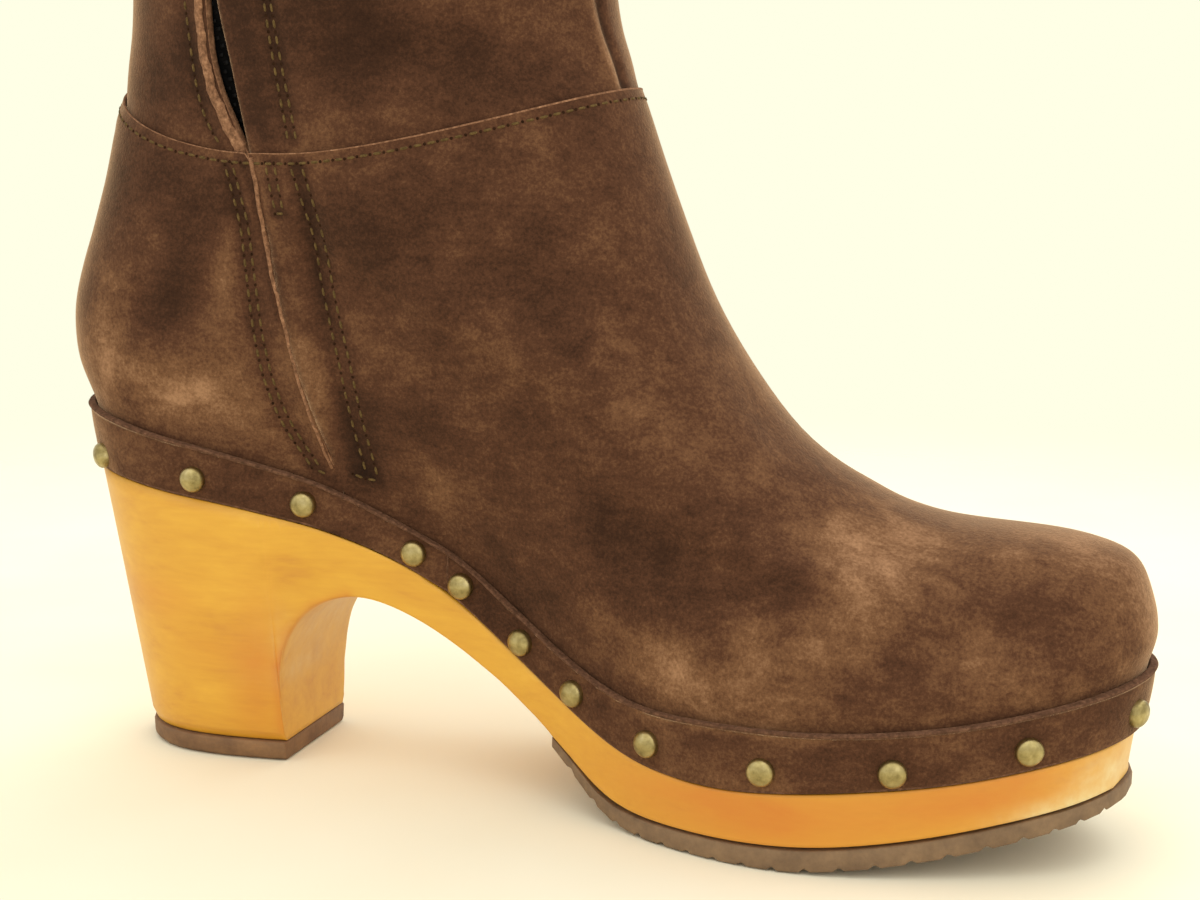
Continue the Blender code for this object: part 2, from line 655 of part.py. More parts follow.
def main():
    for item in list(bpy.data.objects):
        bpy.data.objects.remove(item)
    boot = bpy.data.collections.new("heeled_clog_boot")
    bpy.context.scene.collection.children.link(boot)
    parent = bpy.data.objects.new("boot_origin", None)
    boot.objects.link(parent)
    parent.location = (-ORIGIN_X * MM, -ORIGIN_Y * MM, 0.0)
    wood = material("lacquered_alder", (0.72, 0.38, 0.09), 0.35)
    rubber = material("brown_rubber", (0.10, 0.065, 0.045), 0.7)
    suede = material("brown_suede", (0.065, 0.032, 0.018), 0.95)
    brass = material("antique_brass", (0.42, 0.33, 0.16), 0.4, 1.0)
    black = material("black_zip_tape", (0.008, 0.008, 0.008), 0.8)
    lining = material("tan_leather", (0.40, 0.25, 0.14), 0.6)
    wooden_sole(wood, parent)
    forefoot_outsole(rubber, parent)
    heel_top_lift(rubber, parent)
    insole(lining, parent)
    foot_upper(suede, parent)
    shaft(suede, parent)
    welt_band(suede, parent)
    zip_tape(black, parent)
    studs(brass, parent)
    bpy.context.view_layer.update()


main()
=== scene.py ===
"""Looks of the left heeled clog boot: suede, carved wood, nail heads, zip, stitching, light and camera.

The scene is in metres in the part's frame: +X from heel to toe, +Y to the outer side, +Z up from the floor.
Tables of seams, creases, brushed patches and painted light and shade are in millimetres as a maker marks
them on the boot:
x from the back of the heel seat, y from the last's middle line, z from the floor.
"""

import json
import math
from functools import partial

import bpy
import numpy as np
from mathutils import Matrix, Vector
from mathutils.bvhtree import BVHTree
from mathutils.kdtree import KDTree

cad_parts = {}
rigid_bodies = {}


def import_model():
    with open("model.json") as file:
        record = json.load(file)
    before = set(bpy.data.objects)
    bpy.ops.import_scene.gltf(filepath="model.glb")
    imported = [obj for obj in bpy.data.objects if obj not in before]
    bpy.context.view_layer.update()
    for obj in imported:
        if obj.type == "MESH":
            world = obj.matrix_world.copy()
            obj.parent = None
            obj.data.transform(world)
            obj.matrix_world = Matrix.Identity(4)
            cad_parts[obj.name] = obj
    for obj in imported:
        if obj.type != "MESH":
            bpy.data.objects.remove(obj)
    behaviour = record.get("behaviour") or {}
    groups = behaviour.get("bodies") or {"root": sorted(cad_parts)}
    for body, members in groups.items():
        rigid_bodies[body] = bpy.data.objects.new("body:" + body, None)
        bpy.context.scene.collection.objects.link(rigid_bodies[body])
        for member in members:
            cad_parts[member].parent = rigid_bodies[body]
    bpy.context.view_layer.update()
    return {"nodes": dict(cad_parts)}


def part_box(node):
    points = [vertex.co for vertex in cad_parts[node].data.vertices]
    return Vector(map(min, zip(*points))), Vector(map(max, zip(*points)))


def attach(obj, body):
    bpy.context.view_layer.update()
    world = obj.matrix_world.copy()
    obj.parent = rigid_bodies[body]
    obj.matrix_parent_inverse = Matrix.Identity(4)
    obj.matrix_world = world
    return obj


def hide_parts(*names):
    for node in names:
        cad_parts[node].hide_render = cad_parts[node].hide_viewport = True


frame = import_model()

# Units and the tables' starting point
MM = 0.001
HEEL_BACK = np.array((-127.2, 4.3, 0.0))
FAR_OUT = 400 * MM

# Walls of a leather piece, as material slots
OUTER, RIM, INNER = range(3)
WALL_TURN = math.radians(50)
MERGE = 0.02 * MM
QUAD_FOLD = math.radians(40)
RIM_CREASE = 0.7
WOOD_CREASE = 1.0
SOCK_CREASE = 0.6
CHAMFER_WIDE = 3.0
CHAMFER_STEP = 12.0
SWELL_ROUNDS = 4
SKIVE_REACH = 8.0
LAP_SKIVE = 0.3
BAND_SKIVE = 0.8

# How squarely a face has to look out, up or down to count as a wall or an edge
WALL_LOOK = 0.7
LAP_EDGE_LOOK = 0.7
TOP_EDGE_LOOK = 0.6
LOW_EDGE_LOOK = -0.5

# How fast a mark fades where the surface turns away, and the share of a path over which its ends fade
TURN_FADE = 2.5
CREASE_END_FADE = 0.22
SEAM_END_FADE = 0.06
ROW_END_FADE = 0.05
CURVE_STEPS = 16

# The hollow under the arch, where the wood's edges are rubbed round
ARCH_X = (40, 124)
ARCH_Z = (10, 50)
ARCH_EDGE = math.radians(12)
ARCH_SPREAD = 2
ARCH_RUBS = 7

# Widths of the small rounds on hard edges
RUBBER_ROUND = 0.5
TAPE_ROUND = 0.2
TOOTH_ROUND = 0.22

# The band settles on the wood, and its upper edge is rubbed pale over the ball of the foot
BAND_SETTLE = 0.35
RUB_X = 168.0
RUB_LONG = 36.0
RUB_WIDE = 1.8
RUB_NAP = 0.3

# Where the nap lies with nothing brushed, so that the shares of the noise add up to the middle shade
NAP_LEVEL = -0.635

# Thread and needle
STITCH_PITCH = 3.5
LAP_STITCH_PITCH = 2.9
STITCH_LENGTH = 2.2
STITCH_WIDE = 0.65
STITCH_DROP = 0.3
STITCH_BEND = 0.25
STITCH_TIP = 0.4
STITCH_TAPER = 0.6
STITCH_SIDES = 6
HOLE_RADIUS = 0.38
HOLE_DEPTH = 0.1
HOLE_LIFT = 0.05
LAP_STITCH_DROP = 2.3
LAP_STEPS = 721
ROW_HALF_WIDTH = 2.2
ROW_DEPTH = -0.35
ROW_SHADE_WIDTH = 1.3
ROW_SHADE = -0.16

# Nail heads
NAIL_SKIRT = 1.2
NAIL_STEPS = 6
NAIL_SIDES = 28
NAIL_CROWN = 0.6
NAIL_BASE_SLACK = 0.1
NAIL_DENT_REACH = 4.6
NAIL_DENT = -0.35

# Zip teeth
TOOTH_PITCH = 1.9
TOOTH_SIZE = (1.5, 1.0, 0.7)
TOOTH_OFFSET = 0.5

# Raw strips of the flies
STRIP_SIDES = 10
STRIP_PITCH = 1.2

# The ways a table's path can be looked at: its two axes and the way the surface faces
VIEWS = {
    "inner": (0, 2, (0, -1, 0)),
    "outer": (0, 2, (0, 1, 0)),
    "front": (1, 2, (1, 0, 0)),
    "back": (1, 2, (-1, 0, 0)),
    "top": (0, 1, (0, 0, 1)),
}

# Stitch rows on the inner side, x and z
FOOT_ROWS = (
    ((49, 145.2), (51.4, 135), (52.8, 125), (53.7, 117), (55.2, 105.4), (57.3, 95), (61.2, 84.3),
     (66.9, 75.4)),
    ((51, 145.6), (53.5, 135), (54.8, 125), (55.8, 117), (57.3, 105.4), (59.4, 95), (63.3, 84.4),
     (69, 75.5)),
    ((60.1, 146), (61.2, 140), (62.3, 135)),
    ((62.4, 146), (63.6, 140), (64.4, 135)),
    ((69.6, 145.8), (71.9, 138), (74, 130), (74.8, 121), (76.6, 112), (79.2, 100), (81.3, 86), (83.3, 74)),
    ((66.6, 145.8), (68.9, 138), (71, 130), (71.8, 121), (73.6, 112), (76.2, 100), (78.3, 86), (80.4, 75)),
    ((66.9, 75.4), (69, 74.2), (71.4, 73.6)),
    ((77, 74.6), (80, 73.6), (83.3, 73.4)),
    ((62, 134.6), (64.8, 134.8)),
)
SHAFT_ROWS = (
    ((33, 262), (34.4, 220), (36.8, 195), (38.3, 182), (40.5, 164), (43.4, 155), (47.4, 149.5)),
    ((54.6, 262), (56, 220), (58.6, 195), (60.6, 181.5), (62, 171), (63.9, 160), (66, 150.6)),
    ((56.2, 262), (57.6, 220), (60.3, 195), (62.3, 181.5), (63.9, 171), (66, 160), (68.2, 150.6)),
)

# Raw edges of the two flies over the zip, x and z
LOW_FLY = (
    (56.2, 147), (57.6, 138), (58.6, 128.5), (60.6, 119), (62.3, 112.5), (66.4, 95), (69.2, 84),
    (71.8, 75.5),
)
HIGH_FLY = (
    (41.2, 264), (41.5, 242), (41.8, 220), (42.2, 200), (42.7, 182.6), (43.3, 171), (45.9, 161),
    (50, 153.4), (53.4, 147.5),
)
ZIP_LINE = ((44, 263), (44.6, 220), (45.7, 182.6), (47.3, 171), (49.6, 161), (52.6, 153.4))

# Creases of the foot part: view, half width, depth out of the wall, path
FOOT_CREASES = (
    ("inner", 2.6, -1.0,
     ((67.5, 146), (70.3, 135), (70.4, 122), (72.5, 110), (74.8, 98), (76.4, 85), (79, 75))),
    ("inner", 2.0, 0.6, ((64, 147), (66, 135), (66.6, 122), (68.6, 110), (71.2, 98), (73, 85), (75.5, 76))),
    ("inner", 1.8, -0.8, ((53.8, 146), (57, 138.7), (58.2, 129.6), (59, 122))),
    ("inner", 2.2, 0.5, ((56.6, 146), (58.8, 135), (60.2, 124), (63, 112), (67, 96), (70, 84), (72.4, 76))),
    ("inner", 3.0, -0.5, ((58.2, 108), (61, 96), (64.4, 84), (68.4, 76))),
    ("inner", 5.0, -0.6, ((20, 116), (30, 112), (41, 114), (50, 119))),
    ("inner", 5.0, 0.6, ((18, 106), (29, 101), (42, 102), (53, 107))),
    ("inner", 4.5, -0.5, ((22, 95), (32, 90), (44, 88), (57, 86))),
    ("inner", 6.0, -0.7, ((86, 132), (104, 126), (121, 122), (136, 124))),
    ("inner", 7.0, 0.7, ((88, 118), (106, 112), (124, 106), (142, 104))),
    ("inner", 7.0, -0.6, ((94, 104), (112, 96), (132, 90), (150, 88))),
    ("inner", 8.0, -0.6, ((140, 76), (156, 66), (174, 61), (192, 60))),
    ("inner", 8.0, 0.6, ((150, 60), (166, 52), (184, 48), (204, 48))),
    ("inner", 7.0, -0.5, ((196, 68), (210, 60), (226, 55), (240, 54))),
    ("outer", 6.0, -0.7, ((70, 130), (92, 124), (114, 120), (134, 122))),
    ("outer", 7.0, 0.7, ((76, 115), (98, 109), (120, 104), (142, 102))),
    ("outer", 7.0, -0.6, ((132, 82), (152, 70), (172, 63), (194, 60))),
    ("outer", 6.0, -0.5, ((24, 108), (38, 104), (54, 106), (68, 112))),
    ("top", 7.0, -0.5, ((168, -22), (176, -8), (178, 8), (170, 22))),
    ("top", 7.0, 0.5, ((182, -24), (190, -8), (192, 8), (184, 24))),
)
SHAFT_CREASES = (
    ("front", 1.6, -0.9, ((-9.6, 262), (-9, 235), (-8.6, 205), (-7.9, 183), (-7.2, 175.5), (-5.5, 160))),
    ("front", 2.4, 0.5,
     ((-13.2, 262), (-12.6, 235), (-12.2, 205), (-11.6, 183), (-10.8, 175.5), (-9, 160))),
    ("back", 1.6, -0.7, ((0, 262), (0, 220), (0, 190), (0, 160))),
    ("inner", 6.0, -0.6, ((72, 172), (86, 168), (102, 170), (118, 176))),
    ("inner", 6.0, 0.5, ((74, 186), (90, 181), (106, 183), (120, 189))),
    ("outer", 7.0, -0.7, ((36, 176), (58, 170), (82, 172), (106, 180))),
    ("outer", 7.0, 0.6, ((38, 192), (60, 186), (84, 188), (108, 196))),
)

# Painted shade along the troughs of creases and stitched strips, and painted highlight along their ridges
# and raised edges, light above 0 and dark below: view, half width, strength, path
FOOT_PAINTED_LIGHT_LINES = (
    ("inner", 2.2, -0.2,
     ((68, 146), (70.3, 135), (70.6, 122), (72.7, 110), (75, 98), (76.6, 85), (79, 75))),
    ("inner", 1.6, -0.16, ((53.8, 146), (57, 138.7), (58.2, 129.6), (59, 122), (61, 112))),
    ("inner", 1.4, 0.16, ((58.4, 146), (60, 135), (61.4, 124), (64, 112), (68, 96), (71, 84))),
    ("inner", 1.2, 0.16, ((49.6, 150), (53, 142), (55.6, 134))),
)
SHAFT_PAINTED_LIGHT_LINES = (
    ("front", 1.3, -0.3, ((-9.6, 264), (-9, 235), (-8.6, 205), (-7.9, 183), (-7.2, 175.5), (-5.5, 160))),
    ("front", 1.6, 0.22, ((-12, 264), (-11.4, 235), (-11, 205), (-10.4, 183), (-9.7, 175.5), (-8, 160))),
    ("inner", 4.0, -0.14, ((52, 264), (51, 220), (52.6, 190), (56, 170), (60, 152))),
)

# Brushed patches of the nap, with broad patches of painted light and painted shade among them, light above
# 0, dark below: view, place, half length, half width, turn, strength
FOOT_NAP_AND_PAINTED_LIGHT = (
    ("inner", 15, 105, 17, 6, 80, 0.26),
    ("inner", 27, 93, 20, 8, -12, 0.26),
    ("inner", 40, 92, 8, 3.5, 20, 0.22),
    ("inner", 33, 112, 9, 6, 60, -0.18),
    ("inner", 28, 127, 12, 6, 70, 0.12),
    ("inner", 48, 122, 10, 2.5, 80, 0.2),
    ("inner", 50, 138, 8, 5, 70, -0.12),
    ("inner", 119, 103, 14, 7, -30, 0.18),
    ("inner", 121, 122, 14, 8, -40, -0.08),
    ("inner", 103, 128, 12, 6, 20, 0.1),
    ("inner", 96, 88, 16, 7, -35, -0.12),
    ("inner", 144, 97, 12, 8, -40, 0.1),
    ("inner", 150, 67, 14, 9, -30, -0.2),
    ("inner", 164, 38, 18, 7, -12, 0.26),
    ("inner", 140, 47, 12, 5, -45, 0.14),
    ("inner", 181, 62, 12, 7, -30, -0.14),
    ("inner", 179, 48, 14, 6, 10, 0.12),
    ("inner", 199, 66, 22, 8, -25, 0.22),
    ("inner", 217, 71, 22, 6, -14, 0.2),
    ("inner", 233, 58, 12, 7, -20, -0.1),
    ("inner", 208, 48, 10, 5, 25, -0.08),
    # Painted light and shade: the next seven broad patches lighten the toe and vamp, where the light falls
    # on them, and darken the ankle's side, which lies in shade
    ("inner", 230, 46, 26, 10, 0, 0.14),
    ("inner", 188, 44, 30, 12, 0, 0.06),
    ("inner", 172, 58, 24, 14, -30, 0.08),
    ("inner", 90, 130, 26, 14, 0, -0.2),
    ("inner", 34, 126, 14, 16, 0, -0.16),
    ("front", -8, 54, 22, 12, 0, 0.22),
    ("top", 236, -8, 16, 24, 0, 0.16),
    ("outer", 30, 100, 16, 8, 20, 0.24),
    ("outer", 66, 118, 18, 9, -20, -0.14),
    ("outer", 110, 100, 18, 9, -35, 0.2),
    ("outer", 160, 62, 18, 9, -25, -0.14),
    ("outer", 190, 52, 16, 7, 10, 0.22),
    ("outer", 228, 54, 12, 7, -20, -0.12),
    ("top", 205, 6, 16, 7, 15, 0.2),
)
SHAFT_NAP_AND_PAINTED_SHADE = (
    ("inner", 82, 169, 12, 7, 15, -0.14),
    ("inner", 104, 170, 14, 8, -10, -0.12),
    ("inner", 106, 190, 16, 9, 20, 0.1),
    ("inner", 40, 200, 14, 5, 85, 0.12),
    ("inner", 84, 228, 18, 10, 30, 0.14),
    # Painted shade: this broad patch darkens the shaft's side, which lies in shade
    ("inner", 84, 180, 44, 26, 0, -0.1),
    ("outer", 60, 190, 18, 10, -20, 0.16),
    ("outer", 96, 222, 18, 10, 30, -0.14),
)
BAND_NAP = (
    ("inner", 14, 78, 16, 9, -15, 0.14),
    ("inner", 60, 62, 14, 4, -20, -0.1),
    ("inner", 176, 28, 18, 4, 0, -0.1),
    ("inner", 214, 31, 12, 3, 10, 0.1),
    ("outer", 120, 44, 18, 5, -20, 0.12),
)

# Deeper orange stain and worn pale places of the wood, and painted shade along the heel breast's edge, with
# the columns of the nap's patches and lines
WOOD_STAIN = (
    ("inner", 176, 12, 34, 9, 0, 0.75),
    ("inner", 130, 30, 20, 8, -45, 0.1),
    ("inner", 226, 20, 22, 7, 10, 0.75),
    ("inner", 22, 40, 14, 6, 0, 0.3),
    ("inner", 40, 28, 12, 5, 0, 0.25),
    ("inner", 50, 22, 20, 7, 85, 0.5),
    ("inner", 34, 70, 16, 4, -10, 0.25),
    ("outer", 176, 12, 34, 9, 0, 0.7),
    ("outer", 40, 40, 18, 8, 0, 0.35),
    ("back", 0, 36, 12, 20, 0, 0.3),
)
# Painted shade: a darker orange line along the heel breast's near edge, where the rounded edge turns into
# shade
WOOD_PAINTED_SHADE_LINES = (
    ("inner", 1.6, 0.5, ((55, 8), (55.4, 24), (58.6, 33.5), (65, 40.6), (74, 44))),
)
WOOD_WEAR = (
    ("inner", 242, 15, 11, 3, 12, 1.5),
    ("inner", 250, 22, 6, 4, 20, 0.9),
    ("front", -8, 22, 14, 3, 0, 0.4),
    ("front", 4, 32, 30, 10, 0, 0.5),
    ("outer", 236, 17, 12, 3, 8, 0.7),
)

# Camera fitted to the photograph's view, in degrees, millimetres and pixels of a 1200 wide frame
CAMERA_YAW = 16.5
CAMERA_RISE = 10.0
CAMERA_ROLL = 1.0
CAMERA_DISTANCE = 465.0
CAMERA_TARGET = np.array((129.7, 0.0, 79.8))
FOCAL_PIXELS = 1970.0
FRAME_PIXELS = 1200.0
SENSOR = 36.0
CLIP_START = 10.0

# Floor and lamps, in metres
FLOOR_RADIUS = 0.7
FLOOR_DROP = 0.0002
FLOOR_FADE = (0.25, 0.6)
LAMP_AIM = Vector((0, 0, 0.1))


# Selecting, copying and shaping

def only(piece):
    """Makes one object the selected and active one."""
    bpy.ops.object.select_all(action="DESELECT")
    piece.select_set(True)
    bpy.context.view_layer.objects.active = piece


def in_scene(name, data):
    """A new object in the scene with its mesh, lamp or camera."""
    made = bpy.data.objects.new(name, data)
    bpy.context.scene.collection.objects.link(made)
    return made


def open_for_choice(piece, kind):
    """Opens a piece for editing with nothing selected, so that its points, edges or faces can be chosen."""
    only(piece)
    bpy.ops.object.mode_set(mode="EDIT")
    bpy.ops.mesh.select_mode(type=kind)
    bpy.ops.mesh.select_all(action="DESELECT")


def apply(piece, kind, **settings):
    """Adds a modifier with its settings and applies it."""
    only(piece)
    added = piece.modifiers.new(kind.lower(), kind)
    for name, value in settings.items():
        setattr(added, name, value)
    bpy.ops.object.modifier_apply(modifier=added.name)


def finish_piece(piece, node_names):
    """Sets a piece on the boot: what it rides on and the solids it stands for."""
    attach(piece, "root")
    if node_names:
        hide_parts(*node_names)
    return piece


def copy_of(node_name, name):
    """A merged copy of a solid's skin, with its triangles paired into four-sided faces."""
    mesh = frame["nodes"][node_name].data.copy()
    mesh.name = name
    mesh.materials.clear()
    piece = in_scene(name, mesh)
    only(piece)
    bpy.ops.object.mode_set(mode="EDIT")
    bpy.ops.mesh.select_all(action="SELECT")
    bpy.ops.mesh.customdata_custom_splitnormals_clear()
    bpy.ops.mesh.remove_doubles(threshold=MERGE)
    bpy.ops.mesh.tris_convert_to_quads(face_threshold=QUAD_FOLD, shape_threshold=QUAD_FOLD)
    bpy.ops.object.mode_set(mode="OBJECT")
    return piece


def crease_sharp(piece, weight):
    """Holds a piece's sharp edges when it is subdivided."""
    open_for_choice(piece, "EDGE")
    bpy.ops.mesh.edges_select_sharp(sharpness=WALL_TURN)
    bpy.ops.transform.edge_crease(value=weight)
    bpy.ops.object.mode_set(mode="OBJECT")


def crease_chamfer(piece):
    """Holds both edges of a piece's narrow chamfer when it is subdivided."""
    open_for_choice(piece, "FACE")
    bpy.ops.object.mode_set(mode="OBJECT")
    points, _ = points_of(piece)
    for face in piece.data.polygons:
        corners = points[list(face.vertices)]
        longest = np.linalg.norm(corners - np.roll(corners, 1, axis=0), axis=1).max()
        halves = 2 if len(corners) == 3 else 1
        narrow = halves * face.area / longest < CHAMFER_WIDE * MM
        face.select = bool(narrow and longest < CHAMFER_STEP * MM)
    bpy.ops.object.mode_set(mode="EDIT")
    bpy.ops.mesh.region_to_loop()
    bpy.ops.transform.edge_crease(value=1.0)
    bpy.ops.object.mode_set(mode="OBJECT")


def round_edges(piece, inside, turn, repeat):
    """Rubs a piece's sharp edges round where their points are inside a given part of it."""
    open_for_choice(piece, "EDGE")
    bpy.ops.mesh.edges_select_sharp(sharpness=turn)
    bpy.ops.mesh.select_mode(type="VERT")
    bpy.ops.object.mode_set(mode="OBJECT")
    points, _ = points_of(piece)
    within = inside(points / MM - HEEL_BACK)
    chosen = [point.select and bool(keep) for point, keep in zip(piece.data.vertices, within)]
    open_for_choice(piece, "VERT")
    bpy.ops.object.mode_set(mode="OBJECT")
    piece.data.vertices.foreach_set("select", chosen)
    bpy.ops.object.mode_set(mode="EDIT")
    for _ in range(ARCH_SPREAD):
        bpy.ops.mesh.select_more()
    bpy.ops.mesh.vertices_smooth(factor=0.5, repeat=repeat)
    bpy.ops.object.mode_set(mode="OBJECT")


def soften(piece, levels, rounds=SWELL_ROUNDS):
    """Subdivides a piece and shades it smooth, with its cage swelled to keep the solid's size."""
    smooth = piece.modifiers.new("smooth", "SUBSURF")
    smooth.levels = smooth.render_levels = levels
    wanted, _ = points_of(piece)
    cage = wanted.copy()
    for _ in range(rounds):
        bpy.context.view_layer.update()
        skin = piece.evaluated_get(bpy.context.evaluated_depsgraph_get()).data
        reached = np.array([skin.vertices[index].co for index in range(len(wanted))])
        cage += wanted - reached
        set_points(piece, cage)
    only(piece)
    bpy.ops.object.modifier_apply(modifier=smooth.name)
    bpy.ops.object.shade_smooth()


def from_top_edge(piece):
    """Millimetres from each point of a leather piece to its upper cut edge."""
    rim = [face for face in piece.data.polygons if face.material_index == RIM]
    edge = [face.center for face in rim if face.normal.z > TOP_EDGE_LOOK]
    tree = KDTree(len(edge))
    for index, place in enumerate(edge):
        tree.insert(place, index)
    tree.balance()
    points, _ = points_of(piece)
    return np.array([tree.find(point)[2] for point in points]) / MM


def skive(piece, depth):
    """Thins a leather piece towards its upper cut edge, as a maker pares it before it is lapped."""
    points, facing = points_of(piece)
    thin = depth * np.clip(1 - from_top_edge(piece) / SKIVE_REACH, 0, 1) ** 2 * wall_points(piece, OUTER)
    set_points(piece, points - facing * (thin * MM)[:, None])


def paint_walls(piece, start, way, materials):
    """Gives a leather piece its outer, cut rim and inner materials, spreading from one face on each wall."""
    for material in materials:
        piece.data.materials.append(material)
    faces = piece.data.polygons
    faces.foreach_set("material_index", [RIM] * len(faces))
    for wall, sign in ((OUTER, 1), (INNER, -1)):
        looking = [face for face in faces if face.normal.dot(way) * sign > WALL_LOOK]
        seed = min(looking, key=lambda face: (face.center - start).length).index
        open_for_choice(piece, "FACE")
        bpy.ops.object.mode_set(mode="OBJECT")
        faces = piece.data.polygons
        faces[seed].select = True
        bpy.ops.object.mode_set(mode="EDIT")
        bpy.ops.mesh.faces_select_linked_flat(sharpness=WALL_TURN)
        piece.active_material_index = wall
        bpy.ops.object.material_slot_assign()
        bpy.ops.object.mode_set(mode="OBJECT")
        faces = piece.data.polygons


# Reading and moving points

def spot(x, y, z):
    """A table's millimetres as a place in the frame."""
    return Vector((np.array((x, y, z)) + HEEL_BACK) * MM)


def points_of(piece):
    """A piece's points and the ways they face, as arrays."""
    count = len(piece.data.vertices)
    points = np.empty(count * 3, np.float32)
    facing = np.empty(count * 3, np.float32)
    piece.data.vertices.foreach_get("co", points)
    piece.data.vertices.foreach_get("normal", facing)
    return points.reshape(-1, 3).astype(float), facing.reshape(-1, 3).astype(float)


def set_points(piece, points):
    """Moves a piece's points to new places."""
    piece.data.vertices.foreach_set("co", points.astype(np.float32).ravel())
    piece.data.update()


def wall_points(piece, wall):
    """1 for each point on a wall, 0 for the others."""
    found = np.zeros(len(piece.data.vertices))
    for face in piece.data.polygons:
        if face.material_index == wall:
            found[list(face.vertices)] = 1.0
    return found


def from_path(places, path):
    """Distance of each place from a path, and how far along the path its nearest point is, from 0 to 1."""
    path = np.array(path, float)
    steps = np.linalg.norm(np.diff(path, axis=0), axis=1)
    starts = np.concatenate(((0,), np.cumsum(steps)))
    nearest = np.full(len(places), np.inf)
    share = np.zeros(len(places))
    for begin, end, step, start in zip(path[:-1], path[1:], steps, starts):
        along = np.clip((places - begin) @ (end - begin) / step ** 2, 0, 1)
        distance = np.linalg.norm(places - begin - along[:, None] * (end - begin), axis=1)
        closer = distance < nearest
        nearest[closer] = distance[closer]
        share[closer] = (start + along * step)[closer] / starts[-1]
    return nearest, share


def facing_share(facing, way):
    """1 where a surface looks a given way, fading to 0 where it turns off sideways."""
    return np.clip(facing @ np.array(way) * TURN_FADE, 0, 1)


def press(piece, rows, end_fade):
    """Soft troughs and ridges pressed into a leather piece's outer wall along given paths."""
    points, facing = points_of(piece)
    marks = points / MM - HEEL_BACK
    depth_sum = np.zeros(len(points))
    for view, half_width, depth, path in rows:
        first, second, way = VIEWS[view]
        distance, share = from_path(marks[:, (first, second)], path)
        ends = np.clip(np.minimum(share, 1 - share) / end_fade, 0, 1)
        ends = ends * ends * (3 - 2 * ends)
        depth_sum += depth * np.exp(-(distance / half_width) ** 2) * ends * facing_share(facing, way)
    set_points(piece, points + facing * (depth_sum * wall_points(piece, OUTER) * MM)[:, None])


def brush(piece, name, patches, lines=(), start=0.0):
    """Paints soft patches and lines on a piece as a number that its material reads."""
    points, facing = points_of(piece)
    marks = points / MM - HEEL_BACK
    total = np.zeros(len(points)) + start
    for view, half_width, strength, path in lines:
        first, second, way = VIEWS[view]
        distance, _ = from_path(marks[:, (first, second)], path)
        total += strength * np.exp(-(distance / half_width) ** 2) * facing_share(facing, way)
    for view, across, up, half_long, half_wide, turn, strength in patches:
        first, second, way = VIEWS[view]
        offset = marks[:, (first, second)] - (across, up)
        level, rise = math.cos(math.radians(turn)), math.sin(math.radians(turn))
        lengthwise = offset @ (level, rise) / half_long
        crosswise = offset @ (-rise, level) / half_wide
        shape = lengthwise ** 2 + crosswise ** 2
        total += strength * np.exp(-shape) * facing_share(facing, way)
    painted = piece.data.attributes.new(name, "FLOAT", "POINT")
    painted.data.foreach_set("value", total.astype(np.float32))


def skin_of(piece):
    """A piece's faces, ready for finding places on them."""
    mesh = piece.data
    return BVHTree.FromPolygons([v.co for v in mesh.vertices], [tuple(f.vertices) for f in mesh.polygons])


def on_side(skin, x, z):
    """Place and facing where a level line from the boot's inner side first meets a skin."""
    start = Vector(((x + HEEL_BACK[0]) * MM, -FAR_OUT, z * MM))
    place, facing, _, _ = skin.ray_cast(start, Vector((0, 1, 0)))
    return place, facing


def along(path, pitch):
    """Evenly spaced points on a smooth curve through a path."""
    path = np.array(path, float)
    padded = np.vstack((2 * path[0] - path[1], path, 2 * path[-1] - path[-2]))
    steps = np.linspace(0, 1, CURVE_STEPS, endpoint=False)[:, None]
    fine = []
    for before, begin, end, after in zip(padded[:-3], padded[1:-2], padded[2:-1], padded[3:]):
        bend = (2 * begin + (end - before) * steps
                + (2 * before - 5 * begin + 4 * end - after) * steps ** 2
                + (3 * begin - before - 3 * end + after) * steps ** 3) / 2
        fine.append(bend)
    fine = np.vstack(fine + [path[-1:]])
    reach = np.concatenate(((0,), np.cumsum(np.linalg.norm(np.diff(fine, axis=0), axis=1))))
    marks = np.linspace(0, reach[-1], max(2, round(reach[-1] / pitch) + 1))
    return np.column_stack([np.interp(marks, reach, fine[:, axis]) for axis in range(path.shape[1])])


def standing(place, facing, onward):
    """A matrix at a place whose z is the surface's facing and whose x runs onward."""
    up = Vector(facing).normalized()
    x = (Vector(onward) - up * up.dot(Vector(onward))).normalized()
    y = up.cross(x)
    turned = Matrix((x, y, up)).transposed().to_4x4()
    return Matrix.Translation(place) @ turned


def joined(name, pattern, spots):
    """One mesh with a copy of a pattern piece at each spot; the pattern itself is removed."""
    shape, _ = points_of(pattern)
    corners = [tuple(face.vertices) for face in pattern.data.polygons]
    points = []
    faces = []
    for count, matrix in enumerate(spots):
        turned = np.array(matrix)
        points.append(shape @ turned[:3, :3].T + turned[:3, 3])
        faces += [tuple(corner + count * len(shape) for corner in face) for face in corners]
    mesh = bpy.data.meshes.new(name)
    mesh.from_pydata(np.vstack(points).tolist(), [], faces)
    mesh.update()
    piece = in_scene(name, mesh)
    bpy.data.objects.remove(pattern)
    only(piece)
    bpy.ops.object.shade_smooth()
    return piece


# Materials

def tone(code):
    """An sRGB hex colour as linear light."""
    parts = [int(code[place:place + 2], 16) / 255 for place in (1, 3, 5)]
    return (*[part / 12.92 if part <= 0.04045 else ((part + 0.055) / 1.055) ** 2.4 for part in parts], 1.0)


def per_mm(size):
    """A texture scale whose marks are about this many millimetres across."""
    return 1 / (size * MM)


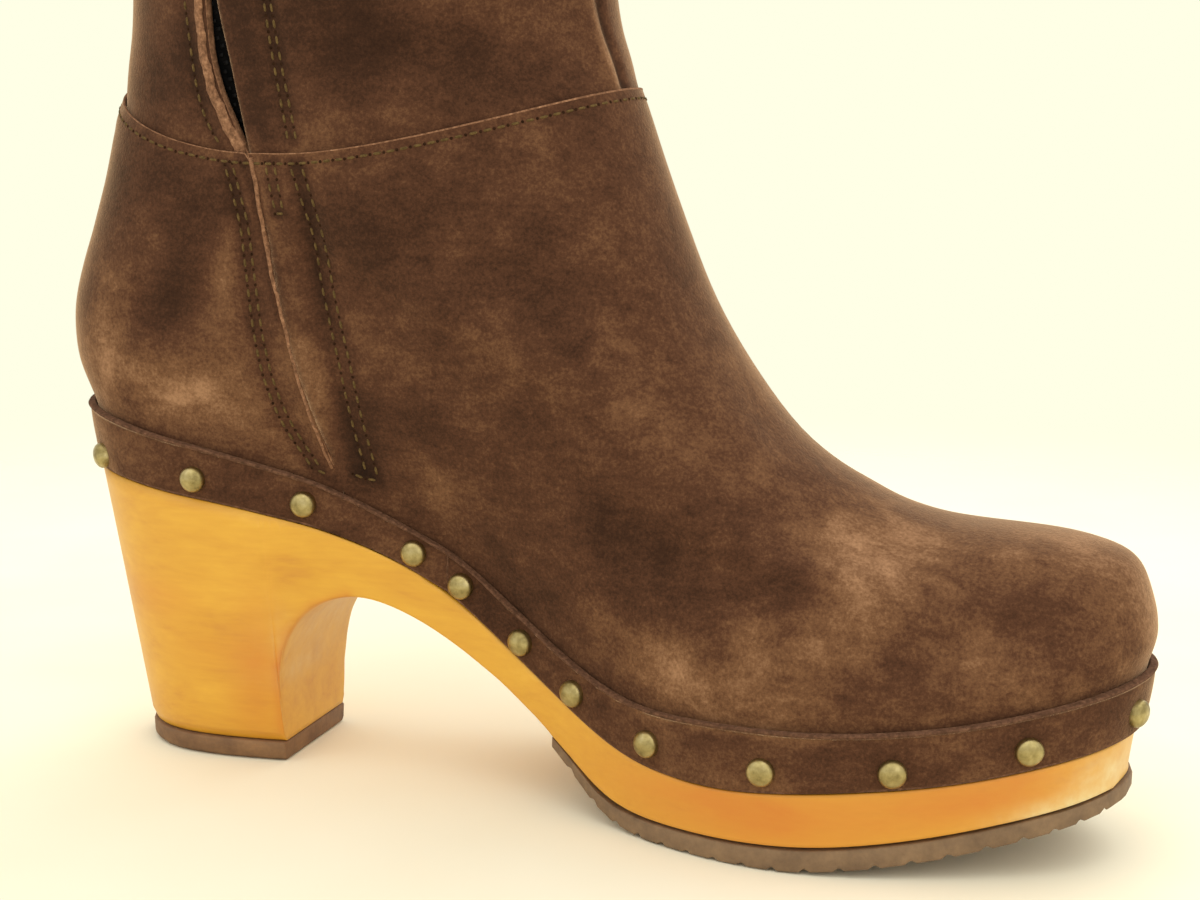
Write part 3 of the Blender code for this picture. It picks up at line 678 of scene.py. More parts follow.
def add_node(tree, kind, inputs=None, stops=None, into=None, **settings):
    """Adds a node with its settings, colour stops, inputs as values or links, and the socket it feeds."""
    made = tree.nodes.new("ShaderNode" + kind)
    for name, value in settings.items():
        setattr(made, name, value)
    if stops:
        ramp = made.color_ramp.elements
        ramp[0].position, ramp[1].position = stops[0][0], stops[-1][0]
        ramp[0].color, ramp[1].color = tone(stops[0][1]), tone(stops[-1][1])
        for position, code in stops[1:-1]:
            ramp.new(position).color = tone(code)
    for socket, value in (inputs or {}).items():
        if isinstance(value, bpy.types.NodeSocket):
            tree.links.new(value, made.inputs[socket])
        else:
            made.inputs[socket].default_value = value
    if into is not None:
        tree.links.new(made.outputs[0], into)
    return made


def new_material(name, values):
    """A material, the way to add nodes to it, its shader's sockets and the piece's own coordinates."""
    material = bpy.data.materials.new(name)
    material.use_nodes = True
    add = partial(add_node, material.node_tree)
    sockets = material.node_tree.nodes["Principled BSDF"].inputs
    for socket, value in values.items():
        sockets[socket].default_value = value
    return material, add, sockets, add("TexCoord").outputs["Object"]


def brushed_suede():
    """Split calf brushed to a nap: no gloss, ragged light and dark as the pile lies, painted light and shade
    from the points, a fine fibre grain.
    """
    material, add, sockets, place = new_material("brushed_suede_calf", {
        "Roughness": 0.95, "Specular IOR Level": 0.12, "Sheen Weight": 1.0, "Sheen Roughness": 0.3,
        "Sheen Tint": tone("#eec9a0")})
    clouds = add("TexNoise", {
        "Vector": place, "Scale": per_mm(38), "Detail": 3.0, "Roughness": 0.5, "Distortion": 0.3})
    blotches = add("TexNoise", {
        "Vector": place, "Scale": per_mm(10), "Detail": 8.0, "Roughness": 0.7, "Distortion": 0.4})
    slanted = add("Mapping", {
        "Vector": place, "Rotation": (0.0, math.radians(-28), 0.0), "Scale": (0.28, 1.0, 1.0)})
    strokes = add("TexNoise", {
        "Vector": slanted.outputs["Vector"], "Scale": per_mm(2.4), "Detail": 5.0, "Roughness": 0.65})
    fibre = add("TexNoise", {"Vector": place, "Scale": per_mm(0.8), "Detail": 3.0, "Roughness": 0.75})
    # The points' number holds the brushed nap and also painted light and shade: shade in troughs and along
    # stitch rows, highlights on ridges and the toe, shade on the ankle's side
    nap_and_painted_light = add("Attribute", attribute_name="nap_and_painted_light")
    # The painted patches, of nap and of light and shade alike, break up into the blotches, so that no patch
    # has a smooth rim
    broken = add("Math", {0: blotches.outputs["Fac"], 1: 1.3, 2: 0.35}, operation="MULTIPLY_ADD")
    lie = add("Math", {0: nap_and_painted_light.outputs["Fac"], 1: broken.outputs[0], 2: NAP_LEVEL}, operation="MULTIPLY_ADD")
    for part, share in ((clouds, 0.75), (blotches, 0.55), (strokes, 0.35), (fibre, 0.6)):
        lie = add("Math", {0: part.outputs["Fac"], 1: share, 2: lie.outputs[0]}, operation="MULTIPLY_ADD")
    add("ValToRGB", {"Fac": lie.outputs[0]}, into=sockets["Base Color"], stops=(
        (0.05, "#25160d"), (0.3, "#3b2518"), (0.5, "#523524"), (0.7, "#6e4d34"), (0.88, "#8b674a"),
        (1.0, "#9e7858")))
    pile = add("Math", {0: strokes.outputs["Fac"], 1: 0.25, 2: fibre.outputs["Fac"]},
               operation="MULTIPLY_ADD")
    add("Bump", {"Height": pile.outputs[0], "Strength": 0.4, "Distance": 0.4 * MM}, into=sockets["Normal"])
    return material


def cut_suede_edge(name, dark, middle, light):
    """The knife-cut edge of suede: open fibre with no nap."""
    material, add, sockets, place = new_material(name, {
        "Roughness": 0.95, "Specular IOR Level": 0.12, "Sheen Weight": 0.15, "Sheen Tint": tone("#c79f7c")})
    fibre = add("TexNoise", {"Vector": place, "Scale": per_mm(1.1), "Detail": 3.0, "Roughness": 0.7})
    add("ValToRGB", {"Fac": fibre.outputs["Fac"]}, into=sockets["Base Color"],
        stops=((0.3, dark), (0.52, middle), (0.72, light)))
    add("Bump", {"Height": fibre.outputs["Fac"], "Strength": 0.7, "Distance": 0.4 * MM},
        into=sockets["Normal"])
    return material


def lining_pigskin():
    """Unfinished lining pigskin: warm tan, dull, with fine pores."""
    material, add, sockets, place = new_material("lining_pigskin", {
        "Roughness": 0.7, "Specular IOR Level": 0.3})
    pores = add("TexVoronoi", {"Vector": place, "Scale": per_mm(2.2)})
    clouds = add("TexNoise", {"Vector": place, "Scale": per_mm(18), "Detail": 4.0})
    add("ValToRGB", {"Fac": clouds.outputs["Fac"]}, into=sockets["Base Color"],
        stops=((0.3, "#7c5a3e"), (0.7, "#a37c58")))
    add("Bump", {"Height": pores.outputs["Distance"], "Strength": 0.3, "Distance": 0.2 * MM},
        into=sockets["Normal"])
    return material


def lacquered_alder():
    """Alder carved and sealed with clear lacquer: honey colour, faint grain along the sole, a soft shine."""
    material, add, sockets, place = new_material("lacquered_alder", {
        "Roughness": 0.5, "IOR": 1.5, "Coat Weight": 0.2, "Coat Roughness": 0.25})
    long_way = add("Mapping", {"Vector": place, "Scale": (0.1, 1.0, 1.0)})
    grain = add("TexNoise", {
        "Vector": long_way.outputs["Vector"], "Scale": per_mm(1.3), "Detail": 4.0, "Roughness": 0.6})
    half_way = add("Mapping", {"Vector": place, "Scale": (0.3, 1.0, 1.0)})
    bands = add("TexNoise", {
        "Vector": half_way.outputs["Vector"], "Scale": per_mm(8), "Detail": 5.0, "Roughness": 0.6,
        "Distortion": 0.5})
    fine = add("Math", {0: grain.outputs["Fac"], 1: 0.32, 2: -0.03}, operation="MULTIPLY_ADD")
    figure = add("Math", {0: bands.outputs["Fac"], 1: 0.74, 2: fine.outputs[0]}, operation="MULTIPLY_ADD")
    honey = add("ValToRGB", {"Fac": figure.outputs[0]}, stops=(
        (0.2, "#c28128"), (0.42, "#d39a29"), (0.6, "#dba52f"), (0.85, "#e5b63f")))
    # The stain, and the painted shade along the heel breast's edge, soak in along the bands, and the wear is
    # broken up into specks
    stain_and_painted_shade = add("Attribute", attribute_name="stain_and_painted_shade")
    ragged = add("Math", {0: bands.outputs["Fac"], 1: 1.6, 2: 0.2}, operation="MULTIPLY_ADD")
    soaked = add("Math", {0: stain_and_painted_shade.outputs["Fac"], 1: ragged.outputs[0]}, operation="MULTIPLY")
    stained = add("Mix", {0: soaked.outputs[0], 6: honey.outputs["Color"], 7: tone("#c9741a")},
                  data_type="RGBA")
    wear = add("Attribute", attribute_name="wear")
    speckle = add("TexNoise", {"Vector": place, "Scale": per_mm(3), "Detail": 4.0})
    broken = add("Math", {0: wear.outputs["Fac"], 1: speckle.outputs["Fac"]}, operation="MULTIPLY")
    worn = add("Mix", {0: broken.outputs[0], 6: stained.outputs[2], 7: tone("#e0cd96")}, data_type="RGBA")
    material.node_tree.links.new(worn.outputs[2], sockets["Base Color"])
    add("Bump", {"Height": grain.outputs["Fac"], "Strength": 0.08, "Distance": 0.2 * MM},
        into=sockets["Normal"])
    return material


def moulded_rubber(name, dark, light):
    """Moulded crepe-brown rubber: dull, faintly mottled, with a fine grit."""
    material, add, sockets, place = new_material(name, {"Roughness": 0.75, "IOR": 1.52})
    mottle = add("TexNoise", {"Vector": place, "Scale": per_mm(6), "Detail": 6.0, "Roughness": 0.7})
    add("ValToRGB", {"Fac": mottle.outputs["Fac"]}, into=sockets["Base Color"],
        stops=((0.3, dark), (0.7, light)))
    grit = add("TexNoise", {"Vector": place, "Scale": per_mm(0.8), "Detail": 2.0})
    add("Bump", {"Height": grit.outputs["Fac"], "Strength": 0.35, "Distance": 0.3 * MM},
        into=sockets["Normal"])
    return material


def antiqued_brass():
    """Pressed brass dulled with an antique wash: soft highlights, browner and duller in patches."""
    material, add, sockets, place = new_material("antiqued_brass", {"Metallic": 1.0})
    wash = add("TexNoise", {"Vector": place, "Scale": per_mm(2.4), "Detail": 4.0, "Roughness": 0.6})
    add("ValToRGB", {"Fac": wash.outputs["Fac"]}, into=sockets["Base Color"],
        stops=((0.3, "#84764a"), (0.55, "#a99a68"), (0.75, "#bfb182")))
    add("MapRange", {
        "Value": wash.outputs["Fac"], "From Min": 0.3, "From Max": 0.7, "To Min": 0.45, "To Max": 0.3},
        into=sockets["Roughness"])
    return material


def twisted_thread():
    """Bonded polyester thread: olive tan, its twist too fine to see and so drawn at 0.6 mm."""
    material, add, sockets, place = new_material("twisted_thread", {
        "Roughness": 0.8, "Specular IOR Level": 0.15})
    twist = add("TexNoise", {"Vector": place, "Scale": per_mm(0.6), "Detail": 2.0})
    add("ValToRGB", {"Fac": twist.outputs["Fac"]}, into=sockets["Base Color"],
        stops=((0.3, "#49391d"), (0.7, "#6a5530")))
    add("Bump", {"Height": twist.outputs["Fac"], "Strength": 0.4, "Distance": 0.2 * MM},
        into=sockets["Normal"])
    return material


def needle_shadow():
    """Painted shadow for the inside of a needle hole in suede: dark brown where the hole lies in shade."""
    material, add, sockets, place = new_material("needle_hole_painted_shadow", {
        "Roughness": 1.0, "Specular IOR Level": 0.0})
    fibre = add("TexNoise", {"Vector": place, "Scale": per_mm(0.5)})
    add("ValToRGB", {"Fac": fibre.outputs["Fac"]}, into=sockets["Base Color"],
        stops=((0.3, "#24170e"), (0.7, "#38261a")))
    return material


def zip_tape_with_painted_shade():
    """Black polyester zip tape, made darker still as painted shade of the slit: a close twill weave, its
    ribs drawn near 2 mm wide so that they show.
    """
    material, add, sockets, place = new_material("zip_tape_with_painted_shade", {
        "Roughness": 0.95, "Specular IOR Level": 0.08})
    # A slanting wave's ribs are a little over a third of the size that its scale stands for
    weave = add("TexWave", {"Vector": place, "Scale": per_mm(6.28), "Distortion": 0.6, "Detail": 2.0},
                bands_direction="DIAGONAL")
    add("ValToRGB", {"Fac": weave.outputs["Fac"]}, into=sockets["Base Color"],
        # Painted shade: near black, darker than the tape itself, for the deep shade inside the slit
        stops=((0.2, "#040404"), (0.8, "#0a0909")))
    add("Bump", {"Height": weave.outputs["Fac"], "Strength": 0.4, "Distance": 0.3 * MM},
        into=sockets["Normal"])
    return material


def zip_teeth_with_painted_shade():
    """Moulded black nylon zip teeth, made darker still as painted shade of the slit: smooth, with a small
    dull shine.
    """
    material, add, sockets, place = new_material("zip_teeth_with_painted_shade", {"IOR": 1.53, "Specular IOR Level": 0.12})
    scuff = add("TexNoise", {"Vector": place, "Scale": per_mm(1.5)})
    add("ValToRGB", {"Fac": scuff.outputs["Fac"]}, into=sockets["Base Color"],
        # Painted shade: near black, darker than the nylon itself, for the deep shade inside the slit
        stops=((0.3, "#030303"), (0.7, "#080707")))
    add("MapRange", {"Value": scuff.outputs["Fac"], "To Min": 0.5, "To Max": 0.7}, into=sockets["Roughness"])
    return material


def sock_leather():
    """Smooth vegetable-tanned insole leather: cloudy tan with a fine pebble grain."""
    material, add, sockets, place = new_material("sock_leather", {"Roughness": 0.55, "IOR": 1.5})
    clouds = add("TexNoise", {"Vector": place, "Scale": per_mm(22), "Detail": 5.0})
    add("ValToRGB", {"Fac": clouds.outputs["Fac"]}, into=sockets["Base Color"],
        stops=((0.3, "#95714c"), (0.7, "#b9946b")))
    pebble = add("TexVoronoi", {"Vector": place, "Scale": per_mm(1.4)})
    add("Bump", {"Height": pebble.outputs["Distance"], "Strength": 0.25, "Distance": 0.2 * MM},
        into=sockets["Normal"])
    return material


SUEDE = brushed_suede()
RAW_EDGE = cut_suede_edge("cut_suede_edge", "#5a3f2c", "#835e44", "#a67d5d")
DYED_EDGE = cut_suede_edge("dyed_suede_edge", "#452f21", "#604332", "#7c5a44")
LINING = lining_pigskin()
THREAD = twisted_thread()


# Suede pieces

def leather_piece(node_name, name, seed, levels, edge):
    """A solid of leather as a softened skin with its three walls painted."""
    piece = copy_of(node_name, name)
    paint_walls(piece, spot(*seed), Vector((0, -1, 0)), (SUEDE, edge, LINING))
    crease_sharp(piece, RIM_CREASE)
    soften(piece, levels)
    return piece


def row_shades(rows):
    """Painted shade along a stitch row, in the trough that the row draws into the leather."""
    return tuple(("inner", ROW_SHADE_WIDTH, ROW_SHADE, row) for row in rows)


def row_troughs(rows):
    """A stitch row draws the leather in: a shallow trough under each row."""
    return [("inner", ROW_HALF_WIDTH, ROW_DEPTH, row) for row in rows if len(row) > 3]


suede_foot = leather_piece("foot_upper", "suede_foot", (110, -40, 110), 2, RAW_EDGE)
skive(suede_foot, LAP_SKIVE)
press(suede_foot, FOOT_CREASES, CREASE_END_FADE)
press(suede_foot, row_troughs(FOOT_ROWS), ROW_END_FADE)
# Painted light and shade go into the foot's nap number: shade in the troughs and along the rows, highlights
# on the ridges and the toe
brush(suede_foot, "nap_and_painted_light", FOOT_NAP_AND_PAINTED_LIGHT, FOOT_PAINTED_LIGHT_LINES + row_shades(FOOT_ROWS))
finish_piece(suede_foot, ["foot_upper"])

suede_shaft = leather_piece("shaft", "suede_shaft", (90, -40, 200), 2, RAW_EDGE)
press(suede_shaft, SHAFT_CREASES, SEAM_END_FADE)
press(suede_shaft, row_troughs(SHAFT_ROWS), ROW_END_FADE)
# Painted light and shade go into the shaft's nap number: shade in the seam groove and along the rows,
# highlight on its ridge
brush(suede_shaft, "nap_and_painted_light", SHAFT_NAP_AND_PAINTED_SHADE, SHAFT_PAINTED_LIGHT_LINES + row_shades(SHAFT_ROWS))
finish_piece(suede_shaft, ["shaft"])

stud_names = sorted(name for name in frame["nodes"] if name.startswith("stud_"))


def nail_seat(node_name):
    """Base middle, outward way, radius and height of a nail head's solid."""
    points = np.array([v.co for v in frame["nodes"][node_name].data.vertices], float)
    points = np.unique(points.round(7), axis=0)
    middle = points.mean(0)
    _, axes = np.linalg.eigh((points - middle).T @ (points - middle))
    way = axes[:, 0]
    heights = (points - middle) @ way
    if abs(heights.min()) > abs(heights.max()):
        way = -way
        heights = -heights
    ring = points[heights < heights.min() + NAIL_BASE_SLACK * MM]
    base = ring.mean(0)
    radius = np.linalg.norm(ring - base, axis=1).max()
    return base, way, radius, heights.max() - heights.min()


nail_seats = {name: nail_seat(name) for name in stud_names}


def dent_under_nails(band):
    """Each nail draws the band in round its head."""
    points, facing = points_of(band)
    dent = np.zeros(len(points))
    for base, *_ in nail_seats.values():
        distance = np.linalg.norm(points - base, axis=1)
        dent += NAIL_DENT * np.exp(-(distance / (NAIL_DENT_REACH * MM)) ** 2)
    set_points(band, points + facing * (dent * wall_points(band, OUTER) * MM)[:, None])


def settle_on_wood(band):
    """Lets the band's lower cut edge down onto the wood."""
    points, _ = points_of(band)
    for face in band.data.polygons:
        if face.material_index == RIM and face.normal.z < LOW_EDGE_LOOK:
            for index in face.vertices:
                band.data.vertices[index].co.z = points[index, 2] - BAND_SETTLE * MM
    band.data.update()


def rubbed_nap(band):
    """The pale rub in the nap along the band's upper edge, over the ball of the foot."""
    points, _ = points_of(band)
    from_ball = points[:, 0] / MM - HEEL_BACK[0] - RUB_X
    return RUB_NAP * np.exp(-(from_top_edge(band) / RUB_WIDE) ** 2) * np.exp(-(from_ball / RUB_LONG) ** 2)


suede_band = leather_piece("welt_band", "suede_band", (180, -60, 25), 3, DYED_EDGE)
dent_under_nails(suede_band)
skive(suede_band, BAND_SKIVE)
settle_on_wood(suede_band)
brush(suede_band, "nap_and_painted_light", BAND_NAP, start=rubbed_nap(suede_band))
finish_piece(suede_band, ["welt_band"])


# Wood, rubber and insole

def under_arch(marks):
    """The hollow between heel lift and tread, where the carver rubs the edges round."""
    x, z = marks[:, 0], marks[:, 2]
    return (x > ARCH_X[0]) & (x < ARCH_X[1]) & (z > ARCH_Z[0]) & (z < ARCH_Z[1])


carved_wood = copy_of("wooden_sole", "carved_wood")
carved_wood.data.materials.append(lacquered_alder())
crease_sharp(carved_wood, WOOD_CREASE)
crease_chamfer(carved_wood)
soften(carved_wood, 3, rounds=0)
round_edges(carved_wood, under_arch, ARCH_EDGE, ARCH_RUBS)
# The stain number also holds painted shade along the heel breast's near edge
brush(carved_wood, "stain_and_painted_shade", WOOD_STAIN, WOOD_PAINTED_SHADE_LINES)
brush(carved_wood, "wear", WOOD_WEAR)
finish_piece(carved_wood, ["wooden_sole"])

for node_name, name, dark, light in (
        ("forefoot_outsole", "tread_rubber", "#66503a", "#8a6f51"),
        ("heel_top_lift", "lift_rubber", "#674a32", "#8c6946")):
    rubber = copy_of(node_name, name)
    rubber.data.materials.append(moulded_rubber("moulded_" + name, dark, light))
    apply(rubber, "BEVEL", width=RUBBER_ROUND * MM, segments=2, limit_method="ANGLE", angle_limit=WALL_TURN)
    bpy.ops.object.shade_smooth_by_angle(angle=WALL_TURN)
    finish_piece(rubber, [node_name])

insole_sock = copy_of("insole", "insole_sock")
insole_sock.data.materials.append(sock_leather())
crease_sharp(insole_sock, SOCK_CREASE)
soften(insole_sock, 2)
finish_piece(insole_sock, ["insole"])


# Nail heads

def nail_head(radius, height):
    """One domed nail head: a disc whose rim is drawn up and stepped inward to a round crown."""
    bpy.ops.object.select_all(action="DESELECT")
    bpy.ops.mesh.primitive_circle_add(vertices=NAIL_SIDES, radius=radius, fill_type="NGON",
                                      location=(0, 0, -NAIL_SKIRT * MM))
    head = bpy.context.object
    bpy.ops.object.transform_apply(location=True)
    bpy.ops.object.mode_set(mode="EDIT")
    bpy.ops.mesh.select_all(action="SELECT")
    bpy.ops.mesh.extrude_region_move(TRANSFORM_OT_translate={"value": (0, 0, NAIL_SKIRT * MM)})
    reached = 0.0
    width = 1.0
    for step in range(1, NAIL_STEPS):
        turn = math.radians(90) * step / NAIL_STEPS
        bpy.ops.mesh.extrude_region_move(
            TRANSFORM_OT_translate={"value": (0, 0, height * math.sin(turn) - reached)})
        bpy.ops.transform.resize(value=(math.cos(turn) / width,) * 2 + (1,))
        reached = height * math.sin(turn)
        width = math.cos(turn)
    bpy.ops.mesh.inset(thickness=radius * width * NAIL_CROWN)
    bpy.ops.transform.translate(value=(0, 0, height - reached))
    bpy.ops.mesh.select_all(action="SELECT")
    bpy.ops.mesh.normals_make_consistent(inside=False)
    bpy.ops.object.mode_set(mode="OBJECT")
    bpy.ops.object.shade_smooth_by_angle(angle=WALL_TURN)
    return head


_, _, head_radius, head_height = nail_seats[stud_names[0]]
pattern_head = nail_head(head_radius, head_height)
brass = antiqued_brass()
pattern_head.data.materials.append(brass)
for name, (base, way, *_) in nail_seats.items():
    mesh = pattern_head.data.copy()
    mesh.name = "nail_head_" + name[-2:]
    mesh.transform(standing(Vector(base), way, (0, 0, 1)))
    finish_piece(in_scene(mesh.name, mesh), [name])
bpy.data.objects.remove(pattern_head)


# Zip

zip_tape = copy_of("zip", "zip_tape")
zip_tape.data.materials.append(zip_tape_with_painted_shade())
apply(zip_tape, "BEVEL", width=TAPE_ROUND * MM, segments=1, limit_method="ANGLE", angle_limit=WALL_TURN)
bpy.ops.object.shade_smooth_by_angle(angle=WALL_TURN)
finish_piece(zip_tape, ["zip"])


def zip_tooth():
    """One zip tooth: a small block with all its edges bevelled."""
    bpy.ops.object.select_all(action="DESELECT")
    bpy.ops.mesh.primitive_cube_add(size=1)
    tooth = bpy.context.object
    bpy.ops.object.mode_set(mode="EDIT")
    bpy.ops.transform.resize(value=tuple(size * MM for size in TOOTH_SIZE))
    bpy.ops.mesh.bevel(offset=TOOTH_ROUND * MM, segments=1)
    bpy.ops.object.mode_set(mode="OBJECT")
    return tooth


zip_skin = skin_of(zip_tape)
tooth_spots = []
line = along(ZIP_LINE, TOOTH_PITCH)
for count, (x, z) in enumerate(line):
    place, facing = on_side(zip_skin, x, z)
    ahead = line[min(count + 1, len(line) - 1)] - line[max(count - 1, 0)]
    upward = Vector((ahead[0], 0, ahead[1]))
    across = upward.cross(Vector(facing)).normalized()
    side = TOOTH_OFFSET * MM * (1 if count % 2 else -1)
    tooth_spots.append(standing(place + across * side, facing, across))
zip_teeth = joined("zip_teeth", zip_tooth(), tooth_spots)
zip_teeth.data.materials.append(zip_teeth_with_painted_shade())
finish_piece(zip_teeth, [])


# Stitching

def one_stitch():
    """One stitch: a short round of thread whose two ends dip into the leather."""
    bpy.ops.object.select_all(action="DESELECT")
    bpy.ops.mesh.primitive_cylinder_add(vertices=STITCH_SIDES, radius=STITCH_WIDE / 2 * MM,
                                        depth=STITCH_LENGTH * MM,
                                        rotation=(0, math.radians(90), 0))
    stitch = bpy.context.object
    bpy.ops.object.transform_apply(rotation=True)
    bpy.ops.object.mode_set(mode="EDIT")
    for share in (-STITCH_BEND, STITCH_BEND):
        bpy.ops.mesh.select_all(action="SELECT")
        bpy.ops.mesh.bisect(plane_co=(share * STITCH_LENGTH * MM, 0, 0), plane_no=(1, 0, 0))
    bpy.ops.object.mode_set(mode="OBJECT")
    for point in stitch.data.vertices:
        if abs(point.co.x) > STITCH_TIP * STITCH_LENGTH * MM:
            point.co.y *= STITCH_TAPER
            point.co.z = point.co.z * STITCH_TAPER - STITCH_DROP * MM
    return stitch


def needle_hole():
    """One needle hole: a small flat dimple whose painted shadow shows dark between two stitches."""
    bpy.ops.object.select_all(action="DESELECT")
    bpy.ops.mesh.primitive_circle_add(vertices=STITCH_SIDES, radius=HOLE_RADIUS * MM, fill_type="NGON")
    hole = bpy.context.object
    bpy.ops.object.mode_set(mode="EDIT")
    bpy.ops.mesh.select_all(action="SELECT")
    bpy.ops.mesh.inset(thickness=HOLE_RADIUS * 0.5 * MM, depth=HOLE_DEPTH * MM)
    bpy.ops.object.mode_set(mode="OBJECT")
    return hole


def row_spots(places, facings):
    """Where the stitches and the needle holes between them go on a row of surface places."""
    stitches = []
    holes = []
    for here, there, facing in zip(places[:-1], places[1:], facings):
        stitches.append(standing((here + there) / 2, facing, there - here))
        holes.append(standing(here + Vector(facing) * HOLE_LIFT * MM, facing, there - here))
    return stitches, holes


def side_row(skin, row):
    """Surface places and facings along a stitch row on the boot's inner side."""
    found = [on_side(skin, x, z) for x, z in along(row, STITCH_PITCH)]
    found = [(place, facing) for place, facing in found if place]
    return [place for place, _ in found], [facing for _, facing in found]


foot_skin = skin_of(suede_foot)
shaft_skin = skin_of(suede_shaft)


def lap_edge():
    """The foot part's top edge, as the turn about the ankle's middle and the height at each of its faces."""
    low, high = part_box("shaft")
    middle = (low + high) / 2
    rows = []
    for face in suede_foot.data.polygons:
        if face.material_index == RIM and face.normal.z > LAP_EDGE_LOOK and face.center.z > low.z:
            offset = face.center - middle
            rows.append((math.atan2(offset.y, offset.x), face.center.z))
    rows.sort()
    return middle, np.array(rows)


def lap_row():
    """Places round the ankle, a little under the foot part's top edge, spaced as stitches."""
    middle, edge = lap_edge()
    turns = np.linspace(-math.pi, math.pi, LAP_STEPS)
    heights = np.interp(turns, edge[:, 0], edge[:, 1], period=2 * math.pi) - LAP_STITCH_DROP * MM
    places = []
    facings = []
    for turn, height in zip(turns, heights):
        way = Vector((math.cos(turn), math.sin(turn), 0))
        start = Vector((middle.x, middle.y, height)) + way * FAR_OUT
        place, facing, _, _ = foot_skin.ray_cast(start, -way)
        if place and (not places or (place - places[-1]).length >= LAP_STITCH_PITCH * MM):
            places.append(place)
            facings.append(facing)
    return places, facings


stitch_spots = []
hole_spots = []
sewn_rows = [side_row(foot_skin, row) for row in FOOT_ROWS]
sewn_rows += [side_row(shaft_skin, row) for row in SHAFT_ROWS]
sewn_rows.append(lap_row())
for places, facings in sewn_rows:
    stitches, holes = row_spots(places, facings)
    stitch_spots += stitches
    hole_spots += holes
stitching = joined("stitching", one_stitch(), stitch_spots)
stitching.data.materials.append(THREAD)
finish_piece(stitching, [])
# Painted shadow: each needle hole's dark colour stands for the shade inside the hole
needle_hole_shadows = joined("needle_hole_shadows", needle_hole(), hole_spots)
needle_hole_shadows.data.materials.append(needle_shadow())
finish_piece(needle_hole_shadows, [])


# Raw fly edges

def raw_strip(name, skin, path, half_wides, thick, wave, leans):
    """A strip of cut leather laid along a path on the boot's inner side, its edges slightly wavy.

    The skin is found at two leans to the path's sides, clear of the slit, and carried over to the path.
    """
    near, far = leans
    line = along(path, STRIP_PITCH)
    rows = []
    for count, (x, z) in enumerate(line):
        finds = [on_side(skin, x + lean, z) for lean in leans]
        place = finds[0][0].lerp(finds[1][0], -near / (far - near))
        up = (finds[0][1] + finds[1][1]).normalized()
        ahead = line[min(count + 1, len(line) - 1)] - line[max(count - 1, 0)]
        across = Vector((ahead[0], 0, ahead[1])).cross(up).normalized()
        # Two waves that don't keep step give the edge its hand-cut look
        swing = wave * (math.sin(count * 0.9) + 0.6 * math.sin(count * 2.3 + 1))
        half_wide = np.interp(count / (len(line) - 1), (0, 1), half_wides)
        ring = []
        for turn in range(STRIP_SIDES):
            angle = math.tau * turn / STRIP_SIDES
            reach = (half_wide + swing * math.cos(angle)) * math.cos(angle)
            ring.append(place + (across * reach + up * thick * math.sin(angle)) * MM)
        rows.append(ring)
    points = [point for ring in rows for point in ring]
    faces = []
    for row in range(len(rows) - 1):
        for turn in range(STRIP_SIDES):
            one = row * STRIP_SIDES + turn
            two = row * STRIP_SIDES + (turn + 1) % STRIP_SIDES
            faces.append((one, two, two + STRIP_SIDES, one + STRIP_SIDES))
    faces.append(tuple(reversed(range(STRIP_SIDES))))
    faces.append(tuple(range(len(points) - STRIP_SIDES, len(points))))
    mesh = bpy.data.meshes.new(name)
    mesh.from_pydata(points, [], faces)
    piece = in_scene(name, mesh)
    only(piece)
    bpy.ops.object.mode_set(mode="EDIT")
    bpy.ops.mesh.select_all(action="SELECT")
    bpy.ops.mesh.normals_make_consistent(inside=False)
    bpy.ops.object.mode_set(mode="OBJECT")
    bpy.ops.object.shade_smooth()
    mesh.materials.append(RAW_EDGE)
    return finish_piece(piece, [])


raw_strip("low_fly_edge", foot_skin, LOW_FLY,
          half_wides=(0.6, 0.35), thick=0.4, wave=0.12, leans=(-1.6, 1.6))
raw_strip("high_fly_edge", shaft_skin, HIGH_FLY,
          half_wides=(0.9, 1.6), thick=0.5, wave=0.3, leans=(-3.4, -2.0))


# Floor, light and camera

def floor_paper():
    """Pale cream paper that fades out towards its rim, so that it has no hard edge."""
    material, add, sockets, place = new_material("pale_paper", {"Roughness": 0.9, "Specular IOR Level": 0.2})
    clouds = add("TexNoise", {"Vector": place, "Scale": per_mm(60), "Detail": 2.0})
    add("ValToRGB", {"Fac": clouds.outputs["Fac"]}, into=sockets["Base Color"],
        stops=((0.2, "#f5efd8"), (0.8, "#f8f4e0")))
    reach = add("VectorMath", {0: place}, operation="LENGTH")
    fade = add("MapRange", {
        "Value": reach.outputs["Value"], "From Min": FLOOR_FADE[0], "From Max": FLOOR_FADE[1]},
        interpolation_type="SMOOTHSTEP")
    nodes = material.node_tree.nodes
    paper = nodes["Principled BSDF"].outputs["BSDF"]
    clear = add("BsdfTransparent").outputs["BSDF"]
    add("MixShader", {0: fade.outputs["Result"], 1: paper, 2: clear},
        into=nodes["Material Output"].inputs["Surface"])
    return material


bpy.ops.object.select_all(action="DESELECT")
bpy.ops.mesh.primitive_circle_add(vertices=64, radius=FLOOR_RADIUS, fill_type="NGON",
                                  location=(0, 0, -FLOOR_DROP))
floor = bpy.context.object
floor.name = "floor"
floor.data.materials.append(floor_paper())

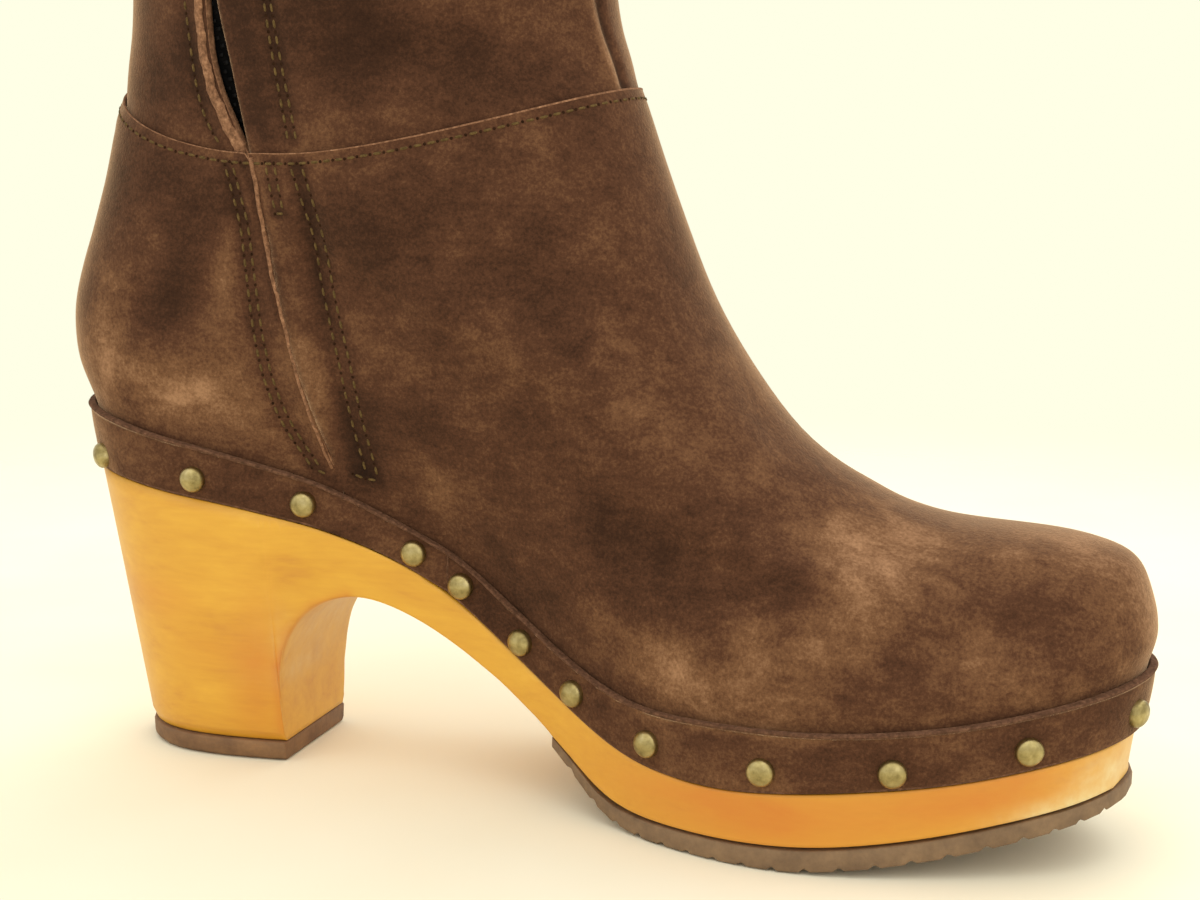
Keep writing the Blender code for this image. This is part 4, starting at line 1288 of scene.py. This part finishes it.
world = bpy.data.worlds.new("soft_room")
world.use_nodes = True
bpy.context.scene.world = world
room = world.node_tree
seen = add_node(room, "Background", {"Color": tone("#ffffe6"), "Strength": 1.0})
lit = add_node(room, "Background", {"Color": tone("#fffaf0"), "Strength": 1.05})
ray = add_node(room, "LightPath")
add_node(room, "MixShader", {
    0: ray.outputs["Is Camera Ray"], 1: lit.outputs["Background"], 2: seen.outputs["Background"]},
    into=room.nodes["World Output"].inputs["Surface"])

# Soft lamps: name, place, size, power in watts, colour
LAMPS = (
    ("key", (-0.45, -0.85, 0.95), 1.2, 2.2, "#fffcf4"),
    ("fill", (0.85, -0.7, 0.6), 0.9, 1.6, "#fffcf4"),
    ("over", (0.25, 0.1, 1.2), 1.6, 5.5, "#fffdf8"),
    ("behind", (0.1, 0.9, 0.6), 0.9, 2.5, "#fffcf4"),
)
for name, place, size, power, colour in LAMPS:
    lamp = bpy.data.lights.new(name, "AREA")
    lamp.size = size
    lamp.energy = power
    lamp.color = tone(colour)[:3]
    holder = in_scene(name, lamp)
    holder.location = place
    holder.rotation_euler = (LAMP_AIM - Vector(place)).to_track_quat("-Z", "Y").to_euler()


def photo_camera():
    """The camera at the photograph's angle, rolled as it was."""
    yaw, rise, roll = (math.radians(angle) for angle in (CAMERA_YAW, CAMERA_RISE, CAMERA_ROLL))
    back = Vector((math.sin(yaw) * math.cos(rise), -math.cos(yaw) * math.cos(rise), math.sin(rise)))
    level = Vector((math.cos(yaw), math.sin(yaw), 0))
    upward = back.cross(level)
    right = level * math.cos(roll) + upward * math.sin(roll)
    up = upward * math.cos(roll) - level * math.sin(roll)
    lens = bpy.data.cameras.new("camera")
    lens.sensor_width = SENSOR
    lens.lens = FOCAL_PIXELS / FRAME_PIXELS * SENSOR
    lens.clip_start = CLIP_START * MM
    camera = in_scene("camera", lens)
    turned = Matrix((right, up, back)).transposed().to_4x4()
    camera.matrix_world = Matrix.Translation(spot(*CAMERA_TARGET) + back * CAMERA_DISTANCE * MM) @ turned
    bpy.context.scene.camera = camera


photo_camera()
bpy.context.scene.view_settings.view_transform = "Standard"
